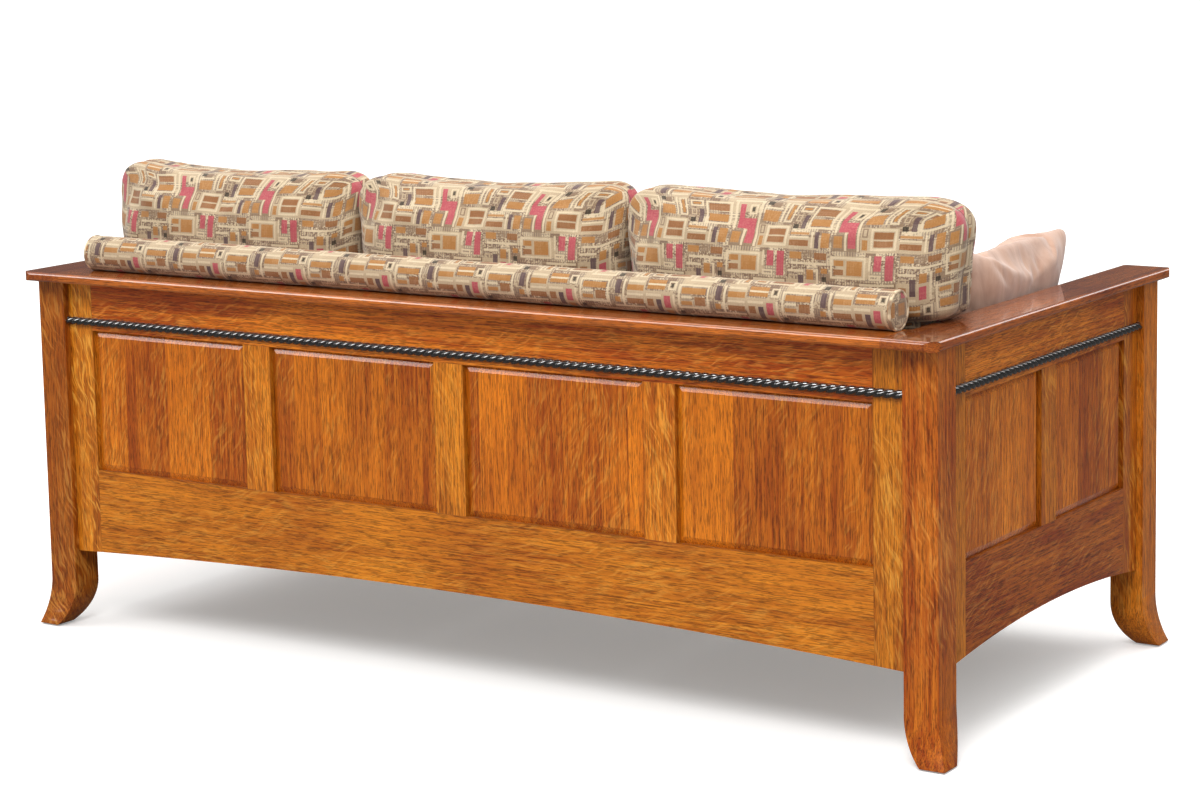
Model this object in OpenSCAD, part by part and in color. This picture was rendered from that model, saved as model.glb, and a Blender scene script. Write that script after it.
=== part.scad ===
// Three-seat oak panel sofa: framed raised panels, sabre feet, loose cushions.
// Millimetres. +Z up, the seat faces -Y, +X is the left hand of a person who sits on it.
// The origin is on the floor under the middle of the whole sofa.

/* [Frame] */
// Outside width over the posts
frame_w = 1958; // [1500:1:2300]
// Outside depth over the posts
frame_d = 908; // [800:1:1000]
// Height of the top of the cap boards
frame_h = 711; // [660:1:780]
// Side of the square posts
post_w = 64; // [54:1:76]
// Distance from a post's outer face back to the framed panels
reveal = 13; // [6:0.5:18]
// Thickness of rails, stiles and muntins
rail_t = 22; // [20:0.5:28]

/* [Feet] */
// Height below which the foot's outer faces sweep out
foot_out_h = 96; // [70:1:120]
// Height below which the foot's inner faces sweep out
foot_in_h = 84; // [60:1:120]
// How far the toe reaches past the post's outer face
toe_out = 19; // [5:1:30]
// Width of the toe on the floor
toe_w = 46; // [36:1:54]
// Diameter of the nylon glide under each toe
glide_d = 24; // [16:1:30]
// Height of the glide that shows under the toe
glide_h = 3; // [2:0.5:6]

/* [Framed panels] */
// Height of the low rails' ends above the floor
arch_z = 152; // [130:1:190]
// Rise of the arch under the long rails
arch_rise_long = 25; // [10:1:40]
// Rise of the arch under the end rails
arch_rise_end = 26; // [10:1:40]
// Height of the panels' lower edge
panel_z0 = 320; // [290:1:380]
// Height of the panels' upper edge
panel_z1 = 596; // [540:1:610]
// Width of the long frame's stiles
stile_w_back = 61; // [45:1:80]
// Width of the end frames' stiles
stile_w_end = 62; // [45:1:80]
// Width of the long frame's muntins
muntin_w_back = 65; // [45:1:90]
// Width of the end frames' muntins
muntin_w_end = 60; // [45:1:90]
// Depth from the rails' face to the edge of a panel
panel_recess = 10; // [7:0.5:11]
// Thickness of a panel's tongue
tongue_t = 6; // [5:0.5:7]
// Depth of the groove that holds the panels
groove_d = 9; // [6:0.5:12]
// Height of the raised field over the panel's edge
field_rise = 5; // [2:0.5:6]
// Width of the bevel round the raised field
bevel_w = 12; // [6:1:25]

/* [Rope moulding] */
// Diameter of the rope moulding
rope_d = 16.5; // [12:0.5:20]
// Height of the rope's centre line
rope_z = 613; // [606:1:660]
// How far the rope's centre stands off the rails' face
rope_off = 2; // [0:0.5:4]

/* [Cap boards] */
// Thickness of the cap boards
cap_t = 18; // [16:1:28]
// Width of the arm boards
arm_cap_w = 100; // [95:1:140]
// Width of the back board
back_cap_w = 106; // [100:1:130]
// Overhang of the cap past the posts at the ends
cap_over_end = 14; // [4:1:30]
// Overhang of the cap past the posts at the back
cap_over_back = 35; // [20:1:45]
// Overhang of the cap past the posts at the front
cap_over_front = 42; // [20:1:55]
// Radius of the board corners in plan
cap_corner_r = 25; // [10:1:40]
// Radius of the rounded long edges
cap_edge_r = 6; // [3:0.5:8]

/* [Seat frame] */
// Height of the top of the front rail
front_rail_z1 = 316; // [300:1:330]
// Height of the top of the slats
deck_z = 310; // [290:1:315]
// Thickness of the slats
slat_t = 18; // [15:1:22]
// Width of one slat
slat_w = 82; // [60:1:90]
// Number of slats
slats = 14; // [12:1:15]
// Thickness of the cleats
cleat_t = 22; // [18:1:28]
// Height of the seat cleats and of the middle beam
cleat_h = 40; // [30:1:50]
// Width of the middle beam
beam_w = 60; // [40:1:80]
// Height of the cleats under the cap boards
cap_cleat_h = 22; // [18:1:30]

/* [Fasteners] */
// Diameter of the wooden dowels
dowel_d = 10; // [8:0.5:12]
// Length of the wooden dowels
dowel_l = 50; // [40:1:56]
// Shank diameter of the wood screws
screw_d = 4; // [3:0.5:5]
// Head diameter of the wood screws
screw_head_d = 8; // [7:0.5:10]

/* [Back roll] */
// Diameter of the stuffed roll on the back board
roll_d = 70; // [60:1:80]
// Diameter of the wooden core in the roll
roll_core_d = 28; // [20:1:36]
// Depth of the flat on which the roll rests
roll_flat = 1.5; // [0.5:0.5:3]
// Distance of the roll's left end from the left arm board
roll_gap_left = 25; // [5:1:60]
// Distance of the roll's right end from the right arm board
roll_gap_right = 5; // [5:1:60]
// Diameter of the welt round the roll's ends
welt_d = 6; // [4:0.5:8]

/* [Cushions] */
// Thickness of a seat cushion at its edge
seat_cushion_h = 142; // [110:1:150]
// Crown of the top of a seat cushion
seat_crown = 24; // [5:1:30]
// Crown of the underside of a seat cushion
seat_under = 2; // [0:1:10]
// How far the seat cushions reach past the front rail
seat_overhang = 8; // [0:1:25]
// Height of a back cushion
back_cushion_h = 444; // [380:1:470]
// Thickness of a back cushion at its edge
back_cushion_t = 164; // [120:1:170]
// Crown of each face of a back cushion
back_crown = 18; // [10:1:30]
// Backward lean of the back cushions in degrees
back_lean = 3; // [0:0.5:6]
// How far the right back cushion swells over the arm board
right_lap = 38; // [0:1:50]
// How far a cushion's sides are drawn in between its corners
side_pull = 6; // [0:1:14]
// Length of the throw pillow along the arm
pillow_l = 436; // [380:1:450]
// Height of the throw pillow along its face
pillow_h = 350; // [330:1:420]
// Thickness of the throw pillow at its middle
pillow_t = 125; // [90:1:140]
// How far the throw pillow's sides are drawn in between its corners
pillow_pull = 16; // [0:1:24]
// Lean of the throw pillow against the arm in degrees
pillow_lean = 22; // [15:1:28]

/* [Hidden] */
$fn = 48;

// Panels across the back and across each end
back_panels = 4;
end_panels = 2;

// Clearance between a tongue or dowel and its groove or hole
fit = 0.1;
// Clearance beside and under a loose cushion
loose = 0.3;
// How far a back cushion stands below the seat's height on its line, because its lower
// corners rest where the seat cushion falls off
back_settle = 7.4;
// How far the throw pillow's lower edge stands above the seat's height on its line
pillow_rise = 3.1;
// Clearance between a back cushion's crown and the roll
lean_gap = 0.5;
// How far the pillow moves on to the arm board's edge, because it is thinner there
pillow_hug = 4;
// Place of the throw pillow's middle along the arm
pillow_y = -66;
// Oversize of a cutting tool past the face that it leaves
over = 1;
// Straight steps of the long arch, and facets of the foot's arcs
arch_steps = 48;
foot_fn = 240;
// Air at the tip of a tongue, at each end of a dowel and behind each end of a slat
tongue_air = 0.5;
dowel_air = 1;
slat_air = 1;
// Distance of the outer dowels from a frame's low and high edge, and the same on the front rail
dowel_edge = 45;
front_dowel_edge = 35;
// Length of a glide's stem in the post
glide_stem = 14;
// Distance of the first slat from the post's line
slat_edge = 10;
// Share of a cap board's thickness that a screw enters
screw_bite = 0.6;
// Distance of the core's ends inside the roll's ends
core_inset = 15;
// Height over the arm board at which the right cushion starts to swell, and the height it takes
lap_lift = 22;
lap_blend = 30;
// Points on each ring of a seat cushion, a back cushion and the throw pillow
seat_sides = 40;
back_sides = 48;
pillow_sides = 40;

// Heights
cap_z0 = frame_h - cap_t;
slat_z0 = deck_z - slat_t;
cleat_z0 = slat_z0 - cleat_h;

// Plan: the cap overhangs more in front than behind, so the posts sit back by half of it
y_mid = (cap_over_front - cap_over_back) / 2;
x_post = frame_w / 2;
y_rear = y_mid + frame_d / 2;
y_front = y_mid - frame_d / 2;
span_long = frame_w - 2 * post_w;
span_end = frame_d - 2 * post_w;

// Lines that pieces share
rail_in_x = x_post - reveal - rail_t;
rail_in_rear = y_rear - reveal - rail_t;
rail_in_front = y_front + reveal + rail_t;
arm_in_x = x_post + cap_over_end - arm_cap_w;
cap_rear = y_rear + cap_over_back;
cap_front = y_front - cap_over_front;
cap_in_rear = cap_rear - back_cap_w;
groove_v1 = panel_recess + tongue_t;
tongue_l = groove_d - tongue_air;

wood = "#b5682e";
panel_wood = "#a85c2a";
cap_wood = "#8a4526";
inner_wood = "#cdb28a";
fabric = "#c2ac84";
suede = "#b79a8c";
steel = "#9a9a9a";

function open_w(span, stile, muntin, count) = (span - 2 * stile - (count - 1) * muntin) / count;
function arch_r(span, rise) = (span * span / 4 + rise * rise) / (2 * rise);
open_back = open_w(span_long, stile_w_back, muntin_w_back, back_panels);
open_end = open_w(span_end, stile_w_end, muntin_w_end, end_panels);

// A box given by its lowest and highest corner
module block(low, high) {
  translate(low) cube(high - low);
}

// Frames are drawn in the plane u-z with their outer face at v = 0 and v pointing inwards
module place_back() {
  translate([0, y_rear - reveal, 0]) rotate([0, 0, 180]) children();
}

module place_front() {
  translate([0, y_front + reveal, 0]) children();
}

module place_right() {
  translate([-x_post + reveal, y_mid, 0]) rotate([0, 0, -90]) children();
}

module place_left() {
  translate([x_post - reveal, y_mid, 0]) rotate([0, 0, 90]) children();
}

// The space under an arched rail: a long arc from post to post
module arch_cut(span, rise) {
  radius = arch_r(span, rise);
  reach = asin(span / 2 / radius);
  arc = [for (i = [0 : arch_steps]) let (a = reach * (2 * i / arch_steps - 1))
    [radius * sin(a), arch_z + rise - radius * (1 - cos(a))]];
  edge = span / 2 + over;
  ends = [[edge, arch_z], [edge, 0], [-edge, 0], [-edge, arch_z]];
  translate([0, rail_t + over, 0]) rotate([90, 0, 0])
    linear_extrude(rail_t + 2 * over) polygon(concat(arc, ends));
}

// Dowels lie along u through the ends of a frame, at the middle of its thickness
back_dowel_zs = [arch_z + dowel_edge, (arch_z + cap_z0) / 2, cap_z0 - dowel_edge];
front_dowel_zs = [arch_z + front_dowel_edge, front_rail_z1 - front_dowel_edge];

module dowel_row(span, zs, diameter, length) {
  for (side = [-1, 1], z = zs)
    translate([side * span / 2, rail_t / 2, z]) rotate([0, 90, 0])
      cylinder(d = diameter, h = length, center = true);
}

module dowel_holes(span, zs) {
  dowel_row(span, zs, dowel_d + 2 * fit, dowel_l + 2 * dowel_air);
}

module all_dowel_holes() {
  place_back() dowel_holes(span_long, back_dowel_zs);
  place_front() dowel_holes(span_long, front_dowel_zs);
  place_left() dowel_holes(span_end, back_dowel_zs);
  place_right() dowel_holes(span_end, back_dowel_zs);
}

module dowels() {
  color(inner_wood) {
    place_back() dowel_row(span_long, back_dowel_zs, dowel_d, dowel_l);
    place_front() dowel_row(span_long, front_dowel_zs, dowel_d, dowel_l);
    place_left() dowel_row(span_end, back_dowel_zs, dowel_d, dowel_l);
    place_right() dowel_row(span_end, back_dowel_zs, dowel_d, dowel_l);
  }
}

// What is cut off a square blank, seen from the side: u = 0 is the post's inner face, its outer
// face is at post_w, and the toe sweeps out past it
module foot_cut() {
  toe_in = post_w + toe_out - toe_w;
  out_r = (foot_out_h * foot_out_h + toe_out * toe_out) / (2 * toe_out);
  in_r = (foot_in_h * foot_in_h + toe_in * toe_in) / (2 * toe_in);
  translate([post_w, foot_out_h]) square([toe_out + over, cap_z0]);
  intersection() {
    translate([post_w + out_r, foot_out_h]) circle(r = out_r, $fn = foot_fn);
    translate([post_w - over, -over]) square([toe_out + 2 * over, foot_out_h + 2 * over]);
  }
  difference() {
    translate([-over, -over]) square([toe_in + over, foot_in_h + over]);
    translate([in_r, foot_in_h]) circle(r = in_r, $fn = foot_fn);
  }
}

module foot_cutter() {
  rotate([90, 0, 0]) translate([0, 0, -post_w - toe_out - over])
    linear_extrude(post_w + toe_out + 2 * over) foot_cut();
}

// A post whose inner corner is at the origin and whose toe points to +X and +Y
module post_blank() {
  difference() {
    cube([post_w + toe_out, post_w + toe_out, cap_z0 - glide_h]);
    foot_cutter();
    mirror([1, -1, 0]) foot_cutter();
  }
}

toe_mid = post_w + toe_out - toe_w / 2;

module at_post(sx, sy) {
  translate([sx * span_long / 2, y_mid + sy * span_end / 2, 0])
    mirror([sx < 0 ? 1 : 0, 0, 0]) mirror([0, sy < 0 ? 1 : 0, 0]) children();
}

module glide() {
  cylinder(d = glide_d, h = glide_h);
  cylinder(d = screw_d, h = glide_h + glide_stem);
}

module post(sx, sy) {
  color(wood) difference() {
    at_post(sx, sy) difference() {
      translate([0, 0, glide_h]) post_blank();
      translate([toe_mid, toe_mid, 0]) cylinder(d = screw_d, h = glide_h + glide_stem);
    }
    all_dowel_holes();
  }
}

module glides() {
  color(steel) for (sx = [-1, 1], sy = [-1, 1])
    at_post(sx, sy) translate([toe_mid, toe_mid, 0]) glide();
}

// Full-height stile on the +u side, grooved along its inner edge
module stile(span, stile_w, rise, zs) {
  u0 = span / 2 - stile_w;
  difference() {
    block([u0, 0, arch_z - over], [span / 2, rail_t, cap_z0]);
    block([u0 - over, panel_recess, 0], [u0 + groove_d, groove_v1, cap_z0 + over]);
    arch_cut(span, rise);
    dowel_holes(span, zs);
  }
}

// Rails fit between the stiles with a tongue at each end and a groove along the panels
module top_rail(span, stile_w) {
  u1 = span / 2 - stile_w;
  difference() {
    block([-u1, 0, panel_z1], [u1, rail_t, cap_z0]);
    block([-u1 - over, panel_recess, panel_z1 - over], [u1 + over, groove_v1, panel_z1 + groove_d]);
  }
  block([-u1 - tongue_l, panel_recess + fit, panel_z1 + groove_d], [u1 + tongue_l, groove_v1 - fit, cap_z0]);
}

module bottom_rail(span, stile_w, rise) {
  u1 = span / 2 - stile_w;
  difference() {
    union() {
      difference() {
        block([-u1, 0, arch_z - over], [u1, rail_t, panel_z0]);
        block([-u1 - over, panel_recess, panel_z0 - groove_d], [u1 + over, groove_v1, panel_z0 + over]);
      }
      block([-u1 - tongue_l, panel_recess + fit, arch_z - over],
        [u1 + tongue_l, groove_v1 - fit, panel_z0 - groove_d]);
    }
    arch_cut(span, rise);
  }
}

module muntin(u, muntin_w) {
  half = muntin_w / 2;
  core = half - groove_d;
  block([u - core, 0, panel_z0], [u + core, rail_t, panel_z1]);
  block([u - core, panel_recess + fit, panel_z0 - tongue_l],
    [u + core, groove_v1 - fit, panel_z1 + tongue_l]);
  for (side = [-1, 1]) {
    edge0 = side < 0 ? u - half : u + core;
    block([edge0, 0, panel_z0], [edge0 + groove_d, panel_recess, panel_z1]);
    block([edge0, groove_v1, panel_z0], [edge0 + groove_d, rail_t, panel_z1]);
  }
}

// Trapezium that rises from the panel's edge to its field, seen along the panel
module bevel_profile(length) {
  polygon([
    [-length / 2, panel_recess + fit], [length / 2, panel_recess + fit],
    [length / 2, panel_recess], [length / 2 - bevel_w, panel_recess - field_rise],
    [-length / 2 + bevel_w, panel_recess - field_rise], [-length / 2, panel_recess]
  ]);
}

module panel(u, width) {
  height = panel_z1 - panel_z0;
  mid_z = (panel_z0 + panel_z1) / 2;
  block([u - width / 2 - tongue_l, panel_recess + fit, panel_z0 - tongue_l],
    [u + width / 2 + tongue_l, groove_v1 - fit, panel_z1 + tongue_l]);
  translate([u, 0, mid_z]) intersection() {
    linear_extrude(height, center = true) bevel_profile(width);
    rotate([90, 0, 90]) linear_extrude(width, center = true) mirror([1, -1, 0]) bevel_profile(height);
  }
}

// Carved rope moulding, planted on the face between the posts
module rope(span) {
  color("#1c1a1a") intersection() {
    translate([0, -rope_off, rope_z]) rotate([0, 90, 0]) cylinder(d = rope_d, h = span, center = true);
    block([-span / 2, -rope_d, rope_z - rope_d], [span / 2, 0, rope_z + rope_d]);
  }
}

function panel_u(i, width, muntin_w, count) = (i - (count - 1) / 2) * (width + muntin_w);
function muntin_u(i, width, muntin_w, count) = (i - (count - 2) / 2) * (width + muntin_w);

module back_stile(side) {
  color(wood) place_back() mirror([side > 0 ? 1 : 0, 0, 0])
    stile(span_long, stile_w_back, arch_rise_long, back_dowel_zs);
}

module back_muntin(i) {
  color(wood) place_back() muntin(muntin_u(i, open_back, muntin_w_back, back_panels), muntin_w_back);
}

module back_panel(i) {
  color(panel_wood) place_back() panel(panel_u(i, open_back, muntin_w_back, back_panels), open_back);
}

// On both ends a child drawn towards +u lands at the rear of the left end and at the front of the right
module end_stile() {
  color(wood) stile(span_end, stile_w_end, arch_rise_end, back_dowel_zs);
}

module end_panel(i) {
  color(panel_wood) panel(panel_u(i, open_end, muntin_w_end, end_panels), open_end);
}

module end_muntin() {
  color(wood) muntin(0, muntin_w_end);
}

module end_top_rail() {
  color(wood) top_rail(span_end, stile_w_end);
}

module end_bottom_rail() {
  color(wood) bottom_rail(span_end, stile_w_end, arch_rise_end);
}

module front_rail() {
  color(wood) place_front() difference() {
    block([-span_long / 2, 0, arch_z - over], [span_long / 2, rail_t, front_rail_z1]);
    arch_cut(span_long, arch_rise_long);
    dowel_holes(span_long, front_dowel_zs);
  }
}

// Rectangle with round corners, exact arcs
module rounded(w, h, r) {
  translate([r, 0]) square([w - 2 * r, h]);
  translate([0, r]) square([w, h - 2 * r]);
  for (x = [r, w - r], y = [r, h - r]) translate([x, y]) circle(r = r);
}

// Screws that hold the caps stand in the cleats and point up
cap_screw_l = cap_cleat_h + cap_t * screw_bite;
cleat_mid = rail_t + cleat_t / 2;
back_screw_us = [for (i = [-2 : 2]) i * span_long / 6];
end_screw_us = [for (i = [-1 : 1]) i * span_end / 3];
roll_screw_us = [for (i = [-2, -1, 1, 2]) i * span_long / 6 + sign(i) * span_long / 14];

module screw(length) {
  cylinder(d1 = screw_head_d, d2 = screw_d, h = screw_d / 2);
  cylinder(d = screw_d, h = length);
}

module screw_row(us, z, length) {
  for (u = us) translate([u, cleat_mid, z]) screw(length);
}

module cap_screws() {
  color(steel) {
    place_back() screw_row(back_screw_us, cap_z0 - cap_cleat_h, cap_screw_l);
    place_left() screw_row(end_screw_us, cap_z0 - cap_cleat_h, cap_screw_l);
    place_right() screw_row(end_screw_us, cap_z0 - cap_cleat_h, cap_screw_l);
  }
}

module cap_cleat(span, us) {
  difference() {
    block([-span / 2, rail_t, cap_z0 - cap_cleat_h], [span / 2, rail_t + cleat_t, cap_z0]);
    screw_row(us, cap_z0 - cap_cleat_h, cap_screw_l);
  }
}

module cap_cleat_back() {
  color(inner_wood) place_back() cap_cleat(span_long, concat(back_screw_us, roll_screw_us));
}

module cap_cleat_end() {
  color(inner_wood) cap_cleat(span_end, end_screw_us);
}

// The back board butts between the arm boards, so only its long edges are rounded
module back_cap() {
  color(cap_wood) difference() {
    translate([-arm_in_x, cap_in_rear, cap_z0]) rotate([90, 0, 90]) linear_extrude(2 * arm_in_x)
      rounded(back_cap_w, cap_t, cap_edge_r);
    cap_screws();
    roll_screws();
  }
}

// Arm board on the +X side, which runs through to the back edge
module arm_cap() {
  length = cap_rear - cap_front;
  difference() {
    translate([arm_in_x, cap_front, cap_z0]) intersection() {
      linear_extrude(cap_t) union() {
        rounded(arm_cap_w, length, cap_corner_r);
        translate([0, length - cap_corner_r]) square(cap_corner_r);
      }
      rotate([90, 0, 90]) linear_extrude(arm_cap_w) rounded(length, cap_t, cap_edge_r);
      union() {
        translate([0, length, 0]) rotate([90, 0, 0]) linear_extrude(length)
          rounded(arm_cap_w, cap_t, cap_edge_r);
        translate([0, length - back_cap_w, 0]) cube([arm_cap_w / 2, back_cap_w, cap_t]);
      }
    }
    cap_screws();
  }
}

module left_arm_cap() {
  color(cap_wood) arm_cap();
}

module right_arm_cap() {
  color(cap_wood) mirror([1, 0, 0]) arm_cap();
}

// Slats run from the front cleat to the back cleat over the middle beam
slat_pitch = (span_long - slat_w - 2 * slat_edge) / (slats - 1);
slat_xs = [for (i = [0 : slats - 1]) (i - (slats - 1) / 2) * slat_pitch];
slat_front = rail_in_front + slat_air;
slat_rear = rail_in_rear - slat_air;
slat_screw_ys = [rail_in_front + cleat_t / 2, rail_in_rear - cleat_t / 2];
slat_screw_l = slat_t + cleat_h / 2;

module slat_screws() {
  color(steel) for (x = slat_xs, y = slat_screw_ys)
    translate([x, y, deck_z]) mirror([0, 0, 1]) screw(slat_screw_l);
}

module seat_slats() {
  color(inner_wood) difference() {
    for (x = slat_xs)
      block([x - slat_w / 2, slat_front, slat_z0], [x + slat_w / 2, slat_rear, deck_z]);
    slat_screws();
  }
}

module long_cleat(y0) {
  color(inner_wood) difference() {
    block([-span_long / 2, y0, cleat_z0], [span_long / 2, y0 + cleat_t, slat_z0]);
    slat_screws();
  }
}

module end_cleat(sx) {
  x0 = sx > 0 ? rail_in_x - cleat_t : -rail_in_x;
  color(inner_wood)
    block([x0, y_mid - span_end / 2, cleat_z0 - cleat_h], [x0 + cleat_t, y_mid + span_end / 2, cleat_z0]);
}

module middle_beam() {
  color(inner_wood)
    block([-rail_in_x, y_mid - beam_w / 2, cleat_z0], [rail_in_x, y_mid + beam_w / 2, slat_z0]);
}

// The roll lies on the back board, screwed up into its core from the cap cleat
roll_y = rail_in_rear - cleat_t / 2;
roll_z = frame_h + roll_d / 2 - roll_flat;
roll_l = 2 * arm_in_x - roll_gap_left - roll_gap_right;
roll_shift = (roll_gap_left - roll_gap_right) / 2;
roll_core_l = roll_l - 2 * core_inset;
roll_screw_l = roll_z - cap_z0 + cap_cleat_h;

module roll_screws() {
  color(steel) place_back() screw_row(roll_screw_us, cap_z0 - cap_cleat_h, roll_screw_l);
}

module roll_core() {
  color(inner_wood) difference() {
    translate([-roll_shift, roll_y, roll_z]) rotate([0, 90, 0])
      cylinder(d = roll_core_d, h = roll_core_l, center = true);
    roll_screws();
  }
}

// Half section of the roll along its axis: r against length, with a welt at each end
module roll_section() {
  radius = roll_d / 2;
  end = roll_l / 2;
  difference() {
    union() {
      translate([0, -end + welt_d / 2]) square([radius, 2 * end - welt_d]);
      translate([0, -end]) square([radius - welt_d / 2, 2 * end]);
      for (side = [-1, 1]) translate([radius - welt_d / 2, side * (end - welt_d / 2)]) circle(d = welt_d);
    }
    square([roll_core_d + 2 * fit, roll_core_l + 2 * fit], center = true);
    translate([-roll_d, -end - over]) square([roll_d, 2 * end + 2 * over]);
  }
}

module back_roll() {
  color(fabric) difference() {
    translate([-roll_shift, roll_y, roll_z]) rotate([0, 90, 0]) rotate_extrude() roll_section();
    block([-roll_l, roll_y - roll_d, frame_h - roll_d], [roll_l, roll_y + roll_d, frame_h]);
    roll_screws();
  }
}

// Cushion forms: rings of a rounded outline that shrink towards the middle of each face
// and grow rounder on the way. j counts the rings from one face over the edge to the other
face_rings = 6;
share_power = 0.55;
outline_power = 12;
middle_power = 2.4;

function ring_share(j) = pow(sin(90 * j / face_rings), share_power);
function ring_power(j) = middle_power + (outline_power - middle_power) * pow(ring_share(j), 4);
function ring_point(angle, power, w, h, pull) = let (
    c = cos(angle), s = sin(angle),
    kept = 1 - 2 * pull / min(w, h) * pow(cos(2 * angle), 2),
    rho = pow(pow(abs(c), power) + pow(abs(s), power), 1 / power))
  [w / 2 * c * kept / rho, h / 2 * s * kept / rho];

// How far a point at [x, y] swells sideways past half_w, above the height y = from
function swell(x, y, half_w, lap, from) =
  lap * pow(max(0, x / half_w), 3) * max(0, min(1, (y - from) / lap_blend));

// A stuffed form, w by h and t thick at its edge, with a crown on the upper and the under face.
// full is near 0 for a boxed edge and near 1 for a knife edge; its +x side may swell by lap
module stuffed(w, h, t, crown, under, pull, full, sides, lap = 0, lap_from = 0) {
  last_ring = 2 * face_rings - 1;
  points = concat(
    [[0, 0, t / 2 + crown]],
    [for (j = [1 : last_ring], i = [0 : sides - 1]) let (
        near = j <= face_rings ? j : 2 * face_rings - j,
        share = ring_share(near),
        p = share * ring_point(360 * i / sides, ring_power(near), w, h, pull),
        edge = t / 2 * pow(cos(90 * near / face_rings), full),
        dome = 1 - share * share,
        z = j <= face_rings ? edge + crown * dome : -edge - under * dome)
      [p[0] + swell(p[0], p[1], w / 2, lap, lap_from), p[1], z]],
    [[0, 0, -t / 2 - under]]);
  last = len(points) - 1;
  faces = concat(
    [for (i = [0 : sides - 1]) [0, 1 + (i + 1) % sides, 1 + i]],
    [for (j = [0 : last_ring - 2], i = [0 : sides - 1], half = [0, 1]) let (
        a = 1 + j * sides, b = a + sides, next = (i + 1) % sides)
      half == 0 ? [a + i, a + next, b + next] : [a + i, b + next, b + i]],
    [for (i = [0 : sides - 1]) [last, last - sides + i, last - sides + (i + 1) % sides]]);
  polyhedron(points, faces);
}

boxed = 0.25;
knife = 0.85;

// The seams of the seat lie under those of the back cushions, so each seat cushion lifts clear
back_pitch = 2 * arm_in_x / 3;
seat_seam = back_pitch / 2;
seat_outer_mid = (span_long / 2 + seat_seam) / 2;
seat_outer_w = span_long / 2 - seat_seam - 2 * loose;
seat_middle_w = 2 * (seat_seam - loose);
seat_front = y_front + reveal - seat_overhang;
seat_rear = rail_in_rear - 2 * loose;
seat_l = seat_rear - seat_front;
seat_mid_y = (seat_front + seat_rear) / 2;
seat_z = deck_z + loose + seat_under + seat_cushion_h / 2;

// Height of a seat cushion's top where its outline is shrunk to a share
function seat_height(share) = let (a = asin(pow(share, 1 / share_power)))
  seat_z + seat_cushion_h / 2 * pow(cos(a), boxed) + seat_crown * (1 - share * share);

module seat_cushion(i) {
  color(fabric) translate([i * seat_outer_mid, seat_mid_y, seat_z])
    stuffed(i == 0 ? seat_middle_w : seat_outer_w, seat_l, seat_cushion_h, seat_crown, seat_under,
      side_pull, boxed, seat_sides);
}

// The back cushions stand on the seat cushions and lean on the roll. The right one swells
// over its arm board, above the board only, so it still lifts straight up
back_w = back_pitch - 2 * loose;
back_half_t = back_cushion_t / 2 + back_crown;
lean_y = roll_y - roll_d / 2 - lean_gap;
back_foot_z = seat_height((lean_y - back_half_t - seat_mid_y) / (seat_l / 2)) - back_settle;
back_mid_z = back_foot_z + back_cushion_h / 2;

module back_cushion(i) {
  color(fabric) translate([i * back_pitch, lean_y, roll_z]) rotate([-back_lean, 0, 0])
    translate([0, -back_half_t, back_mid_z - roll_z]) mirror([i < 0 ? 1 : 0, 0, 0]) rotate([90, 0, 0])
      stuffed(back_w, back_cushion_h, back_cushion_t, back_crown, back_crown, side_pull, boxed, back_sides,
        i < 0 ? right_lap : 0, frame_h - back_mid_z + lap_lift);
}

// The pillow stands on the right seat cushion and leans on the inner edge of the arm board
pillow_drop = frame_h + pillow_t / 2 * sin(pillow_lean) - pillow_h / 2 * cos(pillow_lean);
pillow_foot_x = -arm_in_x + pillow_t / 2 + pillow_h / 2 * sin(pillow_lean);
pillow_foot_z = seat_height(abs(pillow_foot_x + seat_outer_mid) / (seat_outer_w / 2)) + pillow_rise;

module throw_pillow() {
  color(suede) translate([-arm_in_x - pillow_hug, pillow_y, frame_h]) rotate([0, -pillow_lean, 0])
    translate([pillow_t / 2, 0, (pillow_foot_z - pillow_drop) / cos(pillow_lean)]) rotate([90, 0, 90])
      stuffed(pillow_l, pillow_h, pillow_t, 0, 0, pillow_pull, knife, pillow_sides);
}

post(1, 1);  // post_rear_left
post(-1, 1);  // post_rear_right
post(1, -1);  // post_front_left
post(-1, -1);  // post_front_right
glides();
color(wood) place_back() top_rail(span_long, stile_w_back);  // back_top_rail
color(wood) place_back()  // back_bottom_rail
  bottom_rail(span_long, stile_w_back, arch_rise_long);
back_stile(1);  // back_stile_left
back_stile(-1);  // back_stile_right
back_muntin(0);  // back_muntin_1
back_muntin(1);  // back_muntin_2
back_muntin(2);  // back_muntin_3
back_panel(0);  // back_panel_1
back_panel(1);  // back_panel_2
back_panel(2);  // back_panel_3
back_panel(3);  // back_panel_4
place_back() rope(span_long);  // back_rope
place_left() end_top_rail();  // left_top_rail
place_left() end_bottom_rail();  // left_bottom_rail
place_left() end_stile();  // left_stile_rear
place_left() mirror([1, 0, 0]) end_stile();  // left_stile_front
place_left() end_muntin();  // left_muntin
place_left() end_panel(1);  // left_panel_rear
place_left() end_panel(0);  // left_panel_front
place_left() rope(span_end);  // left_rope
place_right() end_top_rail();  // right_top_rail
place_right() end_bottom_rail();  // right_bottom_rail
place_right() mirror([1, 0, 0]) end_stile();  // right_stile_rear
place_right() end_stile();  // right_stile_front
place_right() end_muntin();  // right_muntin
place_right() end_panel(0);  // right_panel_rear
place_right() end_panel(1);  // right_panel_front
place_right() rope(span_end);  // right_rope
front_rail();
back_cap();
left_arm_cap();
right_arm_cap();
cap_cleat_back();
place_left() cap_cleat_end();  // cap_cleat_left
place_right() cap_cleat_end();  // cap_cleat_right
cap_screws();
dowels();
long_cleat(rail_in_front);  // seat_cleat_front
long_cleat(rail_in_rear - cleat_t);  // seat_cleat_back
end_cleat(1);  // seat_cleat_left
end_cleat(-1);  // seat_cleat_right
middle_beam();
seat_slats();
slat_screws();
back_roll();
roll_core();
roll_screws();
seat_cushion(1);  // seat_cushion_left
seat_cushion(0);  // seat_cushion_middle
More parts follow.
